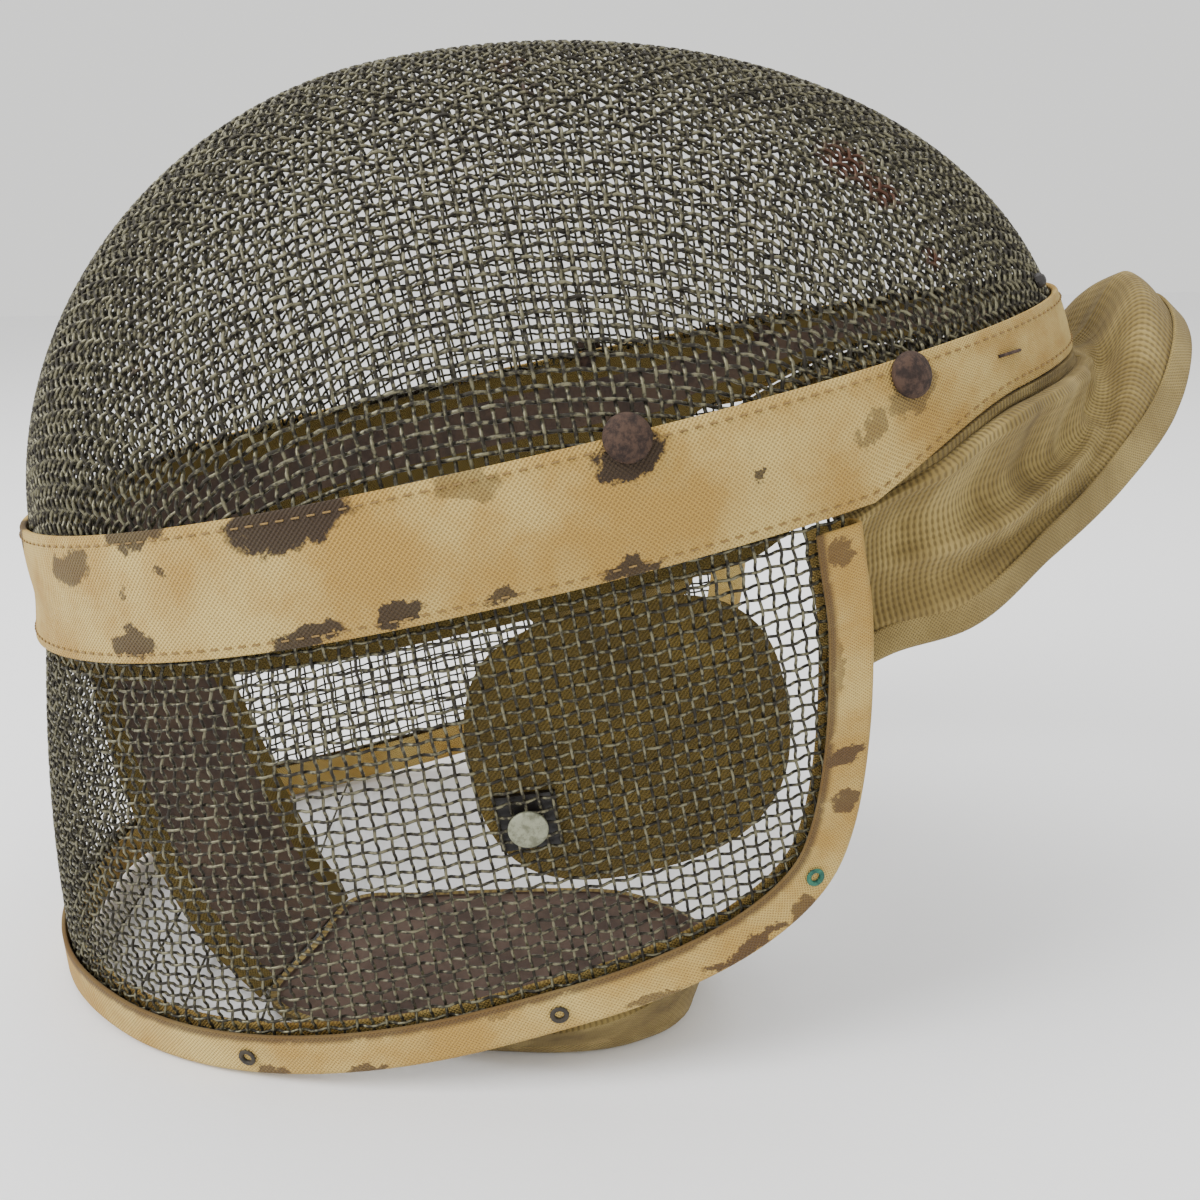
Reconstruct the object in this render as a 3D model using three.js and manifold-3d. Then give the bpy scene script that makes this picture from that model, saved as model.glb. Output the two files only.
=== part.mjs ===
// A fencing mask of woven wire, resting on its chin rim, with its sewn cloth and leather parts.
// Millimetres, +Z up. The face looks along -Y and the wearer's left side is +X.
// The wire cloth is finer than a solid can hold, so its two panels are thin walls of the true form.
import * as THREE from 'three';
import Module from 'manifold-3d';
import { mergeVertices } from 'three/addons/utils/BufferGeometryUtils.js';

// Wire cage
const HALF_WIDTH = 105.5;
const FRONT_DEPTH = 119;
const BACK_DEPTH = 165.5;
const CROWN_HEIGHT = 109.5;
const FACE_DROP = 127;
const CAGE_TILT = 0.167;
const REAR_EDGE_ANGLE = 2.11;
const MESH_WALL = 2;

// How the cage is rounded: 2 is an ellipse, more is squarer
const FRONT_SQUARENESS = 2.34;
const BACK_SQUARENESS = 2;
const FRONT_ARCH = 1.94;
const BACK_ARCH = 2;
const SIDE_ARCH = 1.79;

// The face leans forward below the band, and the sides draw in a little
const FACE_LEAN = 0.42;
const FACE_BOW = 0.155;
const SIDE_LEAN = 0.075;
const LEAN_SOFTNESS = 5;

// Canvas band outside and leather lining inside
const BAND_WIDTH = 29;
const BAND_TOP_RISE = 6.2;
const BAND_BOTTOM_RISE = 7.8;
const BAND_END_GAP = 0.07;
const CANVAS_WALL = 1.6;
const LINING_WALL = 2;
const LINING_SHOWS = 6;
const LINING_TOP_INSET = 1;
const LINING_STEP_ANGLE = 0.18;
const LINING_REAR_STEP = 8.5;

// Behind the face the band narrows: its lower edge rises, from an angle past the rear edge over another
const BAND_REAR_RISE = 12.5;
const BAND_NARROW_START = 0.03;
const BAND_NARROW_ANGLE = 0.36;
const BAND_MIDDLE_SHARE = 0.3;

// Tape folded over the edge of the face
const TAPE_WIDTH = 10.5;
const TAPE_WALL = 1.2;

// Hood at the back
const HOOD_WALL = 1.6;
const HOOD_REACH = 36.5;
const HOOD_DROP = 52;
const HOOD_SEAM_SPAN = 1.04;
const HOOD_EDGE_SPAN = 1.07;
const HOOD_GATHER = 1.6;
const HOOD_GATHERS = 5;
const HOOD_TAPE_WIDTH = 6.5;
const HOOD_TAPE_WALL = 1;

// The hood hangs straight from the band's lower edge, then turns outwards by a share of its bend
const HOOD_HANG = 2.5;
const HOOD_TURN = 4.4;
const HOOD_TURN_OUT = 0.4;

// Its front ends pass inside the rear edge of the face, between two shares of its span
const HOOD_TUCK_START = 0.82;
const HOOD_TUCK_END = 0.97;

// Its folds start at a share of its length and run over another
const HOOD_FOLD_START = 0.3;
const HOOD_FOLD_SPAN = 0.55;

// Strap and bib inside the chin
const STRAP_WALL = 2.2;
const BIB_WALL = 2;
const BIB_LIP = 23;
const BIB_LEAN = 0.3;
const BIB_BEND = 5;
const BIB_FLAT_SHARE = 0.55;
const BIB_INNER_STEP = 0.6;
const BIB_EDGE_STEP = 0.1;

// Cheek pads
const PAD_ANGLE = 1.74;
const PAD_HALF_ANGLE = 0.24;
const PAD_HALF_HEIGHT = 34;
const PAD_THICKNESS = 6;
const PAD_EDGE = 2;
const PAD_SQUARENESS = 2.6;
const PAD_CROWN = 3;
const WASHER_SIZE = 14;
const WASHER_WALL = 1.2;

// Fasteners
const RIVET_HEAD = 10.5;
const RIVET_DOME = 3.4;
const RIVET_EDGE = 0.4;
const RIVET_SHANK = 3;
const RIVET_CLENCH = 6.5;
const RIVET_CLENCH_WALL = 1;
const PAD_RIVET_HEAD = 9.4;
const PAD_RIVET_DOME = 1.3;
const EYELET_OUTER = 4.6;
const EYELET_BORE = 2.2;
const EYELET_BARREL = 3;
const EYELET_FLANGE = 0.5;
const EYELET_EDGE = 0.3;
const STUD_HEAD = 4;
const STUD_HEIGHT = 2.2;
const STUD_EDGE = 0.6;
const STAPLE_LENGTH = 9;
const STAPLE_WIRE = 0.8;

// Clearances between neighbouring pieces
const GAP = 0.3;
const BAND_GAP = 0.45;
const INNER_GAP = 0.7;
const LINING_GAP = 1.1;
const TAPE_INNER_GAP = 1.2;
const FOLD_GAP = 0.7;
const HOOD_SEAM_GAP = 0.6;
const HOOD_TUCK_GAP = 0.5;
const PAD_TOP_GAP = 0.5;
const STRAP_SEAT = 0.8;

// Where the fasteners sit: angle round the cage from the face, and distance below or above the band's
// top edge as a share of BAND_WIDTH. The pad's rivet sits a share of FACE_DROP under the band's middle.
const BAND_RIVETS = [
  { name: 'front', angle: 1.805, below: 0.031 },
  { name: 'rear', angle: 2.235, below: 0.138 },
];
const PAD_RIVET = { angle: 1.577, drop: 0.52 };
const EYELETS = [
  { name: 'front', angle: 1.03 },
  { name: 'middle', angle: 1.56 },
  { name: 'rear', angle: 1.985 },
];
const STUD = { angle: 2.763, above: 0.156 };
const STAPLE = { angle: 2.476, below: 0.241, slope: 0.1 };

// Edge of the face, from the band down the rear edge and along the chin to the middle of the front,
// as shares of REAR_EDGE_ANGLE and FACE_DROP
const RIM = [
  { angle: 1.000, drop: 0.000 },
  { angle: 1.000, drop: 0.150 },
  { angle: 1.000, drop: 0.300 },
  { angle: 0.987, drop: 0.510 },
  { angle: 0.965, drop: 0.690 },
  { angle: 0.935, drop: 0.800 },
  { angle: 0.880, drop: 0.880 },
  { angle: 0.805, drop: 0.930 },
  { angle: 0.716, drop: 0.958 },
  { angle: 0.633, drop: 0.977 },
  { angle: 0.549, drop: 0.981 },
  { angle: 0.460, drop: 0.968 },
  { angle: 0.380, drop: 0.942 },
  { angle: 0.290, drop: 0.908 },
  { angle: 0.150, drop: 0.881 },
  { angle: 0.000, drop: 0.872 },
];

// The share of REAR_EDGE_ANGLE where the rear edge turns into the chin
const REAR_CORNER = 0.935;

// Hood sections from the back centre forwards: span is a share of the half span, the outsets are
// shares of HOOD_REACH and the drops shares of HOOD_DROP
const HOOD = [
  { span: 0.00, bendOut: 0.34, bendDrop: -0.10, crestOut: 0.68, crestDrop: -0.36, edgeOut: 1.00, edgeDrop: -0.10 },
  { span: 0.12, bendOut: 0.31, bendDrop: -0.03, crestOut: 0.62, crestDrop: -0.24, edgeOut: 0.90, edgeDrop: 0.03 },
  { span: 0.24, bendOut: 0.20, bendDrop: 0.10, crestOut: 0.48, crestDrop: 0.06, edgeOut: 0.70, edgeDrop: 0.27 },
  { span: 0.42, bendOut: 0.16, bendDrop: 0.29, crestOut: 0.32, crestDrop: 0.36, edgeOut: 0.41, edgeDrop: 0.50 },
  { span: 0.62, bendOut: 0.10, bendDrop: 0.37, crestOut: 0.18, crestDrop: 0.51, edgeOut: 0.20, edgeDrop: 0.69 },
  { span: 0.78, bendOut: 0.04, bendDrop: 0.41, crestOut: 0.06, crestDrop: 0.63, edgeOut: 0.08, edgeDrop: 0.88 },
  { span: 0.90, bendOut: -0.12, bendDrop: 0.43, crestOut: -0.12, crestDrop: 0.68, edgeOut: -0.12, edgeDrop: 0.93 },
  { span: 1.00, bendOut: -0.18, bendDrop: 0.44, crestOut: -0.20, crestDrop: 0.72, edgeOut: -0.20, edgeDrop: 1.00 },
];

// The strap's upper end lies on the lining, between two angles and at one height, a share of BAND_WIDTH.
// It slants away from there, so the middle of its wall is seated close, at STRAP_SEAT.
const STRAP_TOP = { angle: 0.12, angleBack: -0.27, height: -0.328 };

// Strap edges from below the lining down to the bib: across is a share of HALF_WIDTH, along a share of
// FRONT_DEPTH from the middle of the band, and height a share of the band's height over the floor
const STRAP = [
  { across: 0.10, along: -0.935, height: 0.705, acrossBack: -0.27, alongBack: -0.815, heightBack: 0.670 },
  { across: 0.06, along: -0.990, height: 0.632, acrossBack: -0.25, alongBack: -0.760, heightBack: 0.555 },
  { across: 0.05, along: -0.985, height: 0.480, acrossBack: -0.13, alongBack: -0.655, heightBack: 0.410 },
  { across: 0.07, along: -0.950, height: 0.325, acrossBack: -0.03, alongBack: -0.565, heightBack: 0.275 },
  { across: 0.19, along: -0.850, height: 0.175, acrossBack: 0.01, alongBack: -0.475, heightBack: 0.110 },
  { across: 0.38, along: -0.705, height: 0.080, acrossBack: 0.03, alongBack: -0.430, heightBack: 0.045 },
  { across: 0.54, along: -0.541, height: 0.018, acrossBack: 0.07, alongBack: -0.407, heightBack: 0.018 },
];

// Outline of the bib on the floor, anticlockwise from its inner front corner, in the same shares,
// with the height of its turned-up edge as a share of BIB_LIP
const BIB = [
  { across: 0.07, along: -0.390, lip: 0.14 },
  { across: 0.30, along: -0.455, lip: 0.14 },
  { across: 0.53, along: -0.520, lip: 0.14 },
  { across: 0.655, along: -0.430, lip: 0.15 },
  { across: 0.715, along: -0.260, lip: 0.15 },
  { across: 0.765, along: -0.120, lip: 0.19 },
  { across: 0.805, along: 0.030, lip: 0.32 },
  { across: 0.825, along: 0.190, lip: 0.46 },
  { across: 0.790, along: 0.330, lip: 0.68 },
  { across: 0.690, along: 0.440, lip: 1.10 },
  { across: 0.440, along: 0.480, lip: 0.55 },
  { across: 0.210, along: 0.425, lip: 0.22 },
  { across: 0.080, along: 0.300, lip: 0.12 },
  { across: 0.050, along: 0.060, lip: 0.12 },
  { across: 0.050, along: -0.200, lip: 0.12 },
];

// How finely the curves are cut into facets
const CROWN_COLUMNS = 44;
const CROWN_ROWS = 9;
const BAND_COLUMNS = 66;
const FACE_COLUMNS = 32;
const FACE_ROWS = 7;
const RIM_STEPS = 24;
const RIM_DIVISIONS = 600;
const HOOD_COLUMNS = 40;
const HOOD_ROWS = 6;
const PAD_SIDES = 18;
const PAD_RINGS = 3;
const BIB_SIDES = 26;
const LATHE_SIDES = 10;
const DOME_STEPS = 3;
const EYELET_SIDES = 8;
const HOLE_SIDES = 8;

const wasm = await Module();
wasm.setup();

const material = (color, roughness, metalness = 0) =>
  new THREE.MeshStandardMaterial({ color, roughness, metalness });
const wireFinish = material(0x4c493b, 0.55, 0.7);
const canvasFinish = material(0xcbb07a, 0.95);
const tapeFinish = material(0xc4ad78, 0.95);
const leatherFinish = material(0x5a4233, 0.7);
const twillFinish = material(0x9c8a5c, 0.95);
const padFinish = material(0x6f6236, 0.95);
const blackLeatherFinish = material(0x231f1c, 0.7);
const rustFinish = material(0x4a342a, 0.85, 0.4);
const zincFinish = material(0x7c7f6c, 0.6, 0.6);

// The cage as a surface: angle runs from 0 at the face to PI at the back, height from the band plane
const ramp = (x) => Math.sqrt(x * x + LEAN_SOFTNESS * LEAN_SOFTNESS) - LEAN_SOFTNESS;

function cageBase(angle, height) {
  const below = Math.max(-height, 0);
  const rise = Math.min(Math.max(height, 0) / CROWN_HEIGHT, 1);
  const arch = (power) => (1 - rise ** power) ** (1 / power);
  const lean = FACE_LEAN * ramp(below) - FACE_BOW * below * below / FACE_DROP;
  const front = FRONT_DEPTH * arch(FRONT_ARCH) + lean;
  const back = BACK_DEPTH * arch(BACK_ARCH);
  const side = HALF_WIDTH * arch(SIDE_ARCH) - SIDE_LEAN * ramp(below);
  const c = Math.cos(angle);
  const s = Math.sin(angle);
  const power = c >= 0 ? FRONT_SQUARENESS : BACK_SQUARENESS;
  const radius = (Math.abs(c) ** power + Math.abs(s) ** power) ** (-1 / power);
  return new THREE.Vector3(side * radius * s, -(c >= 0 ? front : back) * radius * c, height);
}

function cageNormal(angle, height) {
  const step = 1e-3;
  if (height > CROWN_HEIGHT * (1 - 1e-6)) return new THREE.Vector3(0, 0, 1);
  const top = Math.min(height + step, CROWN_HEIGHT);
  const round = cageBase(angle + step, height).sub(cageBase(angle - step, height));
  const up = cageBase(angle, top).sub(cageBase(angle, height - step));
  return round.cross(up).normalize();
}

const cage = (angle, height, outset = 0) =>
  cageBase(angle, height).addScaledVector(cageNormal(angle, height), outset);

// Walks over the cage from a place on it, in a direction, for a distance, in a few strides
function walk(angle, height, direction, distance) {
  const step = 1e-3;
  const strides = 4;
  let place = { angle, height };
  for (let i = 0; i < strides; i++) {
    const here = cageBase(place.angle, place.height);
    const round = cageBase(place.angle + step, place.height).sub(here).divideScalar(step);
    const up = cageBase(place.angle, place.height + step).sub(here).divideScalar(step);
    const rr = round.dot(round);
    const ru = round.dot(up);
    const uu = up.dot(up);
    const dr = round.dot(direction);
    const du = up.dot(direction);
    const determinant = rr * uu - ru * ru;
    const stride = distance / strides;
    place = {
      angle: place.angle + ((dr * uu - du * ru) / determinant) * stride,
      height: place.height + ((du * rr - dr * ru) / determinant) * stride,
    };
  }
  return place;
}

// Closed bodies are lofted: each section has an outer line and an inner line of as many points
function lofted(sections, closed = false) {
  const count = sections[0].outer.length;
  const loops = sections.map((s) => [...s.outer, ...[...s.inner].reverse()]);
  const size = 2 * count;
  const positions = loops.flat().flatMap((p) => [p.x, p.y, p.z]);
  const index = [];
  const quad = (a, b, c, d) => index.push(a, b, c, a, c, d);
  const last = closed ? loops.length : loops.length - 1;
  for (let i = 0; i < last; i++) {
    const here = i * size;
    const next = ((i + 1) % loops.length) * size;
    for (let j = 0; j < size; j++) {
      const k = (j + 1) % size;
      quad(here + j, next + j, next + k, here + k);
    }
  }
  if (!closed) {
    const end = (loops.length - 1) * size;
    for (let j = 0; j < count - 1; j++) {
      quad(j, j + 1, size - 2 - j, size - 1 - j);
      quad(end + j + 1, end + j, end + size - 1 - j, end + size - 2 - j);
    }
  }
  return tidy(positions, index);
}

// Merges shared vertices, drops collapsed triangles and points the faces out
function tidy(positions, index) {
  let geometry = new THREE.BufferGeometry();
  geometry.setAttribute('position', new THREE.Float32BufferAttribute(positions, 3));
  geometry.setIndex(index);
  geometry = mergeVertices(geometry, 1e-3);
  const kept = [];
  const all = geometry.index.array;
  const p = geometry.attributes.position;
  let volume = 0;
  const [a, b, c] = [new THREE.Vector3(), new THREE.Vector3(), new THREE.Vector3()];
  for (let i = 0; i < all.length; i += 3) {
    const [u, v, w] = [all[i], all[i + 1], all[i + 2]];
    if (u === v || v === w || w === u) continue;
    kept.push([u, v, w]);
    volume += a.fromBufferAttribute(p, u).dot(b.fromBufferAttribute(p, v).cross(c.fromBufferAttribute(p, w)));
  }
  geometry.setIndex(kept.flatMap((t) => (volume > 0 ? t : [t[0], t[2], t[1]])));
  return geometry;
}

function solid(geometry) {
  const bare = geometry.clone();
  bare.deleteAttribute('normal');
  bare.deleteAttribute('uv');
  const merged = mergeVertices(bare, 1e-4);
  return new wasm.Manifold(new wasm.Mesh({
    numProp: 3,
    vertProperties: new Float32Array(merged.attributes.position.array),
    triVerts: new Uint32Array(merged.index.array),
  }));
}

function shape(manifold) {
  const mesh = manifold.getMesh();
  const geometry = new THREE.BufferGeometry();
  geometry.setAttribute('position', new THREE.Float32BufferAttribute(mesh.vertProperties, 3));
  geometry.setIndex([...mesh.triVerts]);
  return geometry;
}

// Cuts a round hole through a wall for each seat, with a drill longer than the thickest stack of layers
function bored(geometry, seats, diameter) {
  let body = solid(geometry);
  const length = 2 * (bandStack + padStack);
  for (const seat of seats) {
    const drill = new THREE.CylinderGeometry(diameter / 2, diameter / 2, length, HOLE_SIDES);
    drill.applyMatrix4(seatMatrix(seat));
    body = body.subtract(solid(drill));
  }
  return shape(body);
}

// A seat is a place on the cage with its axis along the outward normal
function seatOn(angle, height, outset = 0, side = 1) {
  const point = cage(angle, height, outset);
  const axis = cageNormal(angle, height);
  point.x *= side;
  axis.x *= side;
  return { point, axis };
}

function seatMatrix(seat) {
  const turn = new THREE.Quaternion().setFromUnitVectors(new THREE.Vector3(0, 1, 0), seat.axis);
  return new THREE.Matrix4().compose(seat.point, turn, new THREE.Vector3(1, 1, 1));
}

function turned(profile, sides) {
  const lathe = new THREE.LatheGeometry(profile.map(([r, h]) => new THREE.Vector2(r, h)), sides);
  return tidy([...lathe.attributes.position.array], [...lathe.index.array]);
}

function place(mesh, seat) {
  mesh.position.copy(seat.point);
  mesh.quaternion.setFromUnitVectors(new THREE.Vector3(0, 1, 0), seat.axis);
  return mesh;
}

function piece(name, geometry, finish) {
  const mesh = new THREE.Mesh(geometry, finish);
  mesh.name = name;
  return mesh;
}

// Edges of the band
const backShare = (angle) => ((1 - Math.cos(angle)) / 2) ** 2;
const bandTop = (angle) => BAND_WIDTH / 2 + BAND_TOP_RISE * backShare(angle);

function bandBottom(angle) {
  const past = (Math.abs(angle) - REAR_EDGE_ANGLE - BAND_NARROW_START) / BAND_NARROW_ANGLE;
  const narrowed = Math.sin(THREE.MathUtils.clamp(past, 0, 1) * Math.PI / 2);
  return -BAND_WIDTH / 2 + BAND_BOTTOM_RISE * backShare(angle) + BAND_REAR_RISE * narrowed;
}

// The lining shows below the band in front, and stops above the band's lower edge behind the face
function liningBottom(angle) {
  const stepStart = REAR_EDGE_ANGLE - LINING_STEP_ANGLE;
  const rear = THREE.MathUtils.smoothstep(Math.abs(angle), stepStart, REAR_EDGE_ANGLE);
  return bandBottom(angle) - LINING_SHOWS + LINING_REAR_STEP * rear;
}

// Rows of a strip: its two edges, and the seam between the wire panels where the strip covers it
const stripRows = (top, bottom) => [top, Math.max(0, bottom + BAND_MIDDLE_SHARE * (top - bottom)), bottom];

const outerSkin = MESH_WALL / 2;
const bandInner = outerSkin + BAND_GAP;
const bandOuter = bandInner + CANVAS_WALL;
const liningOuter = -outerSkin - LINING_GAP;
const liningInner = liningOuter - LINING_WALL;

// The layers that a rivet goes through, and the holes for shanks and barrels
const bandStack = bandOuter + GAP - liningInner + 2 * GAP;
const padStack = 2 * outerSkin + GAP + INNER_GAP + WASHER_WALL + GAP + PAD_THICKNESS + GAP;
const shankHole = RIVET_SHANK + 2 * GAP;
const barrelHole = EYELET_BARREL + 2 * GAP;

// Fastener seats, the same numbers for the holes and for the fasteners
const sides = [{ name: 'left', sign: 1 }, { name: 'right', sign: -1 }];
const onSides = (make) => sides.flatMap(make);
const bandRivetSeats = onSides((side) => BAND_RIVETS.map((rivet) => ({
  name: `band_rivet_${rivet.name}_${side.name}`,
  ...seatOn(rivet.angle, bandTop(rivet.angle) - rivet.below * BAND_WIDTH, bandOuter + GAP, side.sign),
})));
const padRivetSeats = onSides((side) => ({
  name: `cheek_rivet_${side.name}`,
  ...seatOn(PAD_RIVET.angle, -PAD_RIVET.drop * FACE_DROP, outerSkin + GAP, side.sign),
}));

function crownMesh() {
  const heights = Array.from({ length: CROWN_ROWS + 1 }, (_, j) =>
    GAP / 2 + (CROWN_HEIGHT - GAP / 2) * Math.sin((j / CROWN_ROWS) * Math.PI / 2));
  const sections = Array.from({ length: CROWN_COLUMNS }, (_, i) => {
    const angle = (i / CROWN_COLUMNS) * 2 * Math.PI;
    return {
      outer: heights.map((h) => cage(angle, h, outerSkin)),
      inner: heights.map((h) => cage(angle, h, -outerSkin)),
    };
  });
  // The two walls meet nowhere: the top closes on one outer and one inner point
  return bored(lofted(sections, true), bandRivetSeats, shankHole);
}

// The edge of the face as a curve in angle and height, from the left rear edge to the right one
// Its points are kept as lengths round the cage, so that steps along it are even
const rimHalf = RIM.map((row) => new THREE.Vector2(
  row.angle * REAR_EDGE_ANGLE * HALF_WIDTH, -GAP / 2 - row.drop * (FACE_DROP - GAP / 2)));
const rimCurve = new THREE.SplineCurve([
  ...rimHalf,
  ...rimHalf.slice(0, -1).reverse().map((p) => new THREE.Vector2(-p.x, p.y)),
]);
rimCurve.arcLengthDivisions = RIM_DIVISIONS;

function rimAt(along) {
  const point = rimCurve.getPointAt(along);
  return new THREE.Vector2(point.x / HALF_WIDTH, point.y);
}

// How far along the rim its chin part passes an angle, on the left side
function alongRim(angle) {
  let [low, high] = [0, 0.5];
  while (high - low > 1e-5) {
    const middle = (low + high) / 2;
    if (rimAt(middle).x > angle) low = middle;
    else high = middle;
  }
  return low;
}

// Place on the rim, with the direction into the panel and the outward normal
function rimFrame(along) {
  const step = 1e-3;
  const here = rimAt(along);
  const before = rimAt(Math.max(along - step, 0));
  const after = rimAt(Math.min(along + step, 1));
  const run = cageBase(after.x, after.y).sub(cageBase(before.x, before.y)).normalize();
  const normal = cageNormal(here.x, here.y);
  const inward = run.clone().cross(normal).normalize();
  return { here, normal, inward, point: cageBase(here.x, here.y) };
}

function faceMesh() {
  const corner = alongRim(REAR_CORNER * REAR_EDGE_ANGLE);
  const top = (a) => new THREE.Vector2((1 - 2 * a) * REAR_EDGE_ANGLE, -GAP / 2);
  const bottom = (a) => rimAt(corner + a * (1 - 2 * corner));
  const left = (b) => rimAt(b * corner);
  const right = (b) => rimAt(1 - b * corner);
  const patch = (a, b) => {
    const flat = top(a).multiplyScalar(1 - b).addScaledVector(bottom(a), b);
    flat.addScaledVector(left(b), 1 - a).addScaledVector(right(b), a);
    flat.addScaledVector(top(0), -(1 - a) * (1 - b)).addScaledVector(top(1), -a * (1 - b));
    flat.addScaledVector(bottom(0), -(1 - a) * b).addScaledVector(bottom(1), -a * b);
    return flat;
  };
  const sections = Array.from({ length: FACE_COLUMNS + 1 }, (_, i) => {
    const line = Array.from({ length: FACE_ROWS + 1 }, (_, j) => patch(i / FACE_COLUMNS, j / FACE_ROWS));
    return {
      outer: line.map((p) => cage(p.x, p.y, outerSkin)),
      inner: line.map((p) => cage(p.x, p.y, -outerSkin)),
    };
  });
  const panel = bored(lofted(sections), padRivetSeats, shankHole);
  return bored(panel, eyeletSeats, barrelHole);
}

function ringWall(from, to, columns, heights, outer, inner) {
  const sections = Array.from({ length: columns + 1 }, (_, i) => {
    const angle = from + (i / columns) * (to - from);
    const rows = heights(angle);
    return {
      outer: rows.map((h) => cage(angle, h, outer)),
      inner: rows.map((h) => cage(angle, h, inner)),
    };
  });
  return lofted(sections);
}

// The canvas band runs once round the cage, and its two folded ends nearly meet at the back
function canvasBand() {
  const end = Math.PI - BAND_END_GAP;
  const heights = (angle) => stripRows(bandTop(angle), bandBottom(angle));
  const wall = ringWall(-end, end, BAND_COLUMNS, heights, bandOuter, bandInner);
  return bored(wall, bandRivetSeats, shankHole);
}

function lining() {
  const end = Math.PI - BAND_END_GAP;
  const heights = (angle) => stripRows(bandTop(angle) - LINING_TOP_INSET, liningBottom(angle));
  const wall = ringWall(-end, end, BAND_COLUMNS, heights, liningOuter, liningInner);
  return bored(wall, bandRivetSeats, shankHole);
}

// A tape folded over an edge: station gives the edge point, its normal, the way inwards, and the
// point and normal under the tape's free edge
function foldedTape(stations, core, outerGap, innerGap, wall) {
  const sections = stations.map((s) => {
    const at = (point, normal, outset, back = 0) =>
      point.clone().addScaledVector(normal, outset).addScaledVector(s.inward, -back);
    const out = core / 2 + outerGap;
    const inn = -core / 2 - innerGap;
    const fold = FOLD_GAP + wall;
    return {
      outer: [
        at(s.tip, s.tipNormal, out + wall), at(s.point, s.normal, out + wall, fold),
        at(s.point, s.normal, inn - wall, fold), at(s.tip, s.tipNormal, inn - wall),
      ],
      inner: [
        at(s.tip, s.tipNormal, out), at(s.point, s.normal, out, FOLD_GAP),
        at(s.point, s.normal, inn, FOLD_GAP), at(s.tip, s.tipNormal, inn),
      ],
    };
  });
  return lofted(sections);
}

// How far along the rim the tape begins, just under the lining; it ends as far from the other end
const tapeEnds = (() => {
  let along = 0;
  const top = liningBottom(REAR_EDGE_ANGLE - TAPE_WIDTH / HALF_WIDTH) - GAP;
  while (rimAt(along).y > top) along += 1e-4;
  return along;
})();

function edgeBinding() {
  const steps = 2 * RIM_STEPS;
  const stations = Array.from({ length: steps + 1 }, (_, i) => {
    const frame = rimFrame(tapeEnds + (i / steps) * (1 - 2 * tapeEnds));
    const tip = walk(frame.here.x, frame.here.y, frame.inward, TAPE_WIDTH);
    return {
      point: frame.point,
      normal: frame.normal,
      inward: frame.inward,
      tip: cageBase(tip.angle, tip.height),
      tipNormal: cageNormal(tip.angle, tip.height),
    };
  });
  const tape = foldedTape(stations, MESH_WALL, GAP, TAPE_INNER_GAP, TAPE_WALL);
  return bored(tape, eyeletSeats, barrelHole);
}

// Eyelets stand in the middle of the tape, from its fold to its free edge
const eyeletSeats = onSides((side) => EYELETS.map((eyelet) => {
  const frame = rimFrame(alongRim(eyelet.angle));
  const centre = walk(frame.here.x, frame.here.y, frame.inward, (TAPE_WIDTH - FOLD_GAP - TAPE_WALL) / 2);
  const name = `eyelet_${eyelet.name}_${side.name}`;
  return { name, ...seatOn(centre.angle, centre.height, outerSkin + GAP + TAPE_WALL + GAP, side.sign) };
}));

function eyelet() {
  const stack = 2 * TAPE_WALL + MESH_WALL + 3 * GAP + TAPE_INNER_GAP;
  const [outer, barrel, bore] = [EYELET_OUTER / 2, EYELET_BARREL / 2, EYELET_BORE / 2];
  const profile = [
    [bore, EYELET_FLANGE], [outer, EYELET_EDGE], [outer, 0], [barrel, 0],
    [barrel, -stack], [bore, -stack], [bore, EYELET_FLANGE],
  ];
  return turned(profile, EYELET_SIDES);
}

// Hood: a skirt of cloth hung from the band's lower edge and gathered along its seam
const hoodOnCage = bandInner + HOOD_WALL / 2;
const hoodTucked = -outerSkin - TAPE_INNER_GAP - TAPE_WALL - HOOD_TUCK_GAP - HOOD_WALL / 2;
const hoodOutset = (span) => THREE.MathUtils.lerp(
  hoodOnCage, hoodTucked, THREE.MathUtils.smoothstep(span, HOOD_TUCK_START, HOOD_TUCK_END));

const hoodRow = (() => {
  const columns = Object.keys(HOOD[0]).filter((key) => key !== 'span');
  const curve = (key) => new THREE.SplineCurve(HOOD.map((row) => new THREE.Vector2(row.span, row[key])));
  const curves = Object.fromEntries(columns.map((key) => [key, curve(key)]));
  return (span) => {
    const found = HOOD.findIndex((row) => row.span >= span - 1e-9);
    const upper = Math.max(found, 1);
    const [low, high] = [HOOD[upper - 1].span, HOOD[upper].span];
    const t = (upper - 1 + (span - low) / (high - low)) / (HOOD.length - 1);
    return Object.fromEntries(columns.map((key) => [key, curves[key].getPoint(t).y]));
  };
})();

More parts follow.
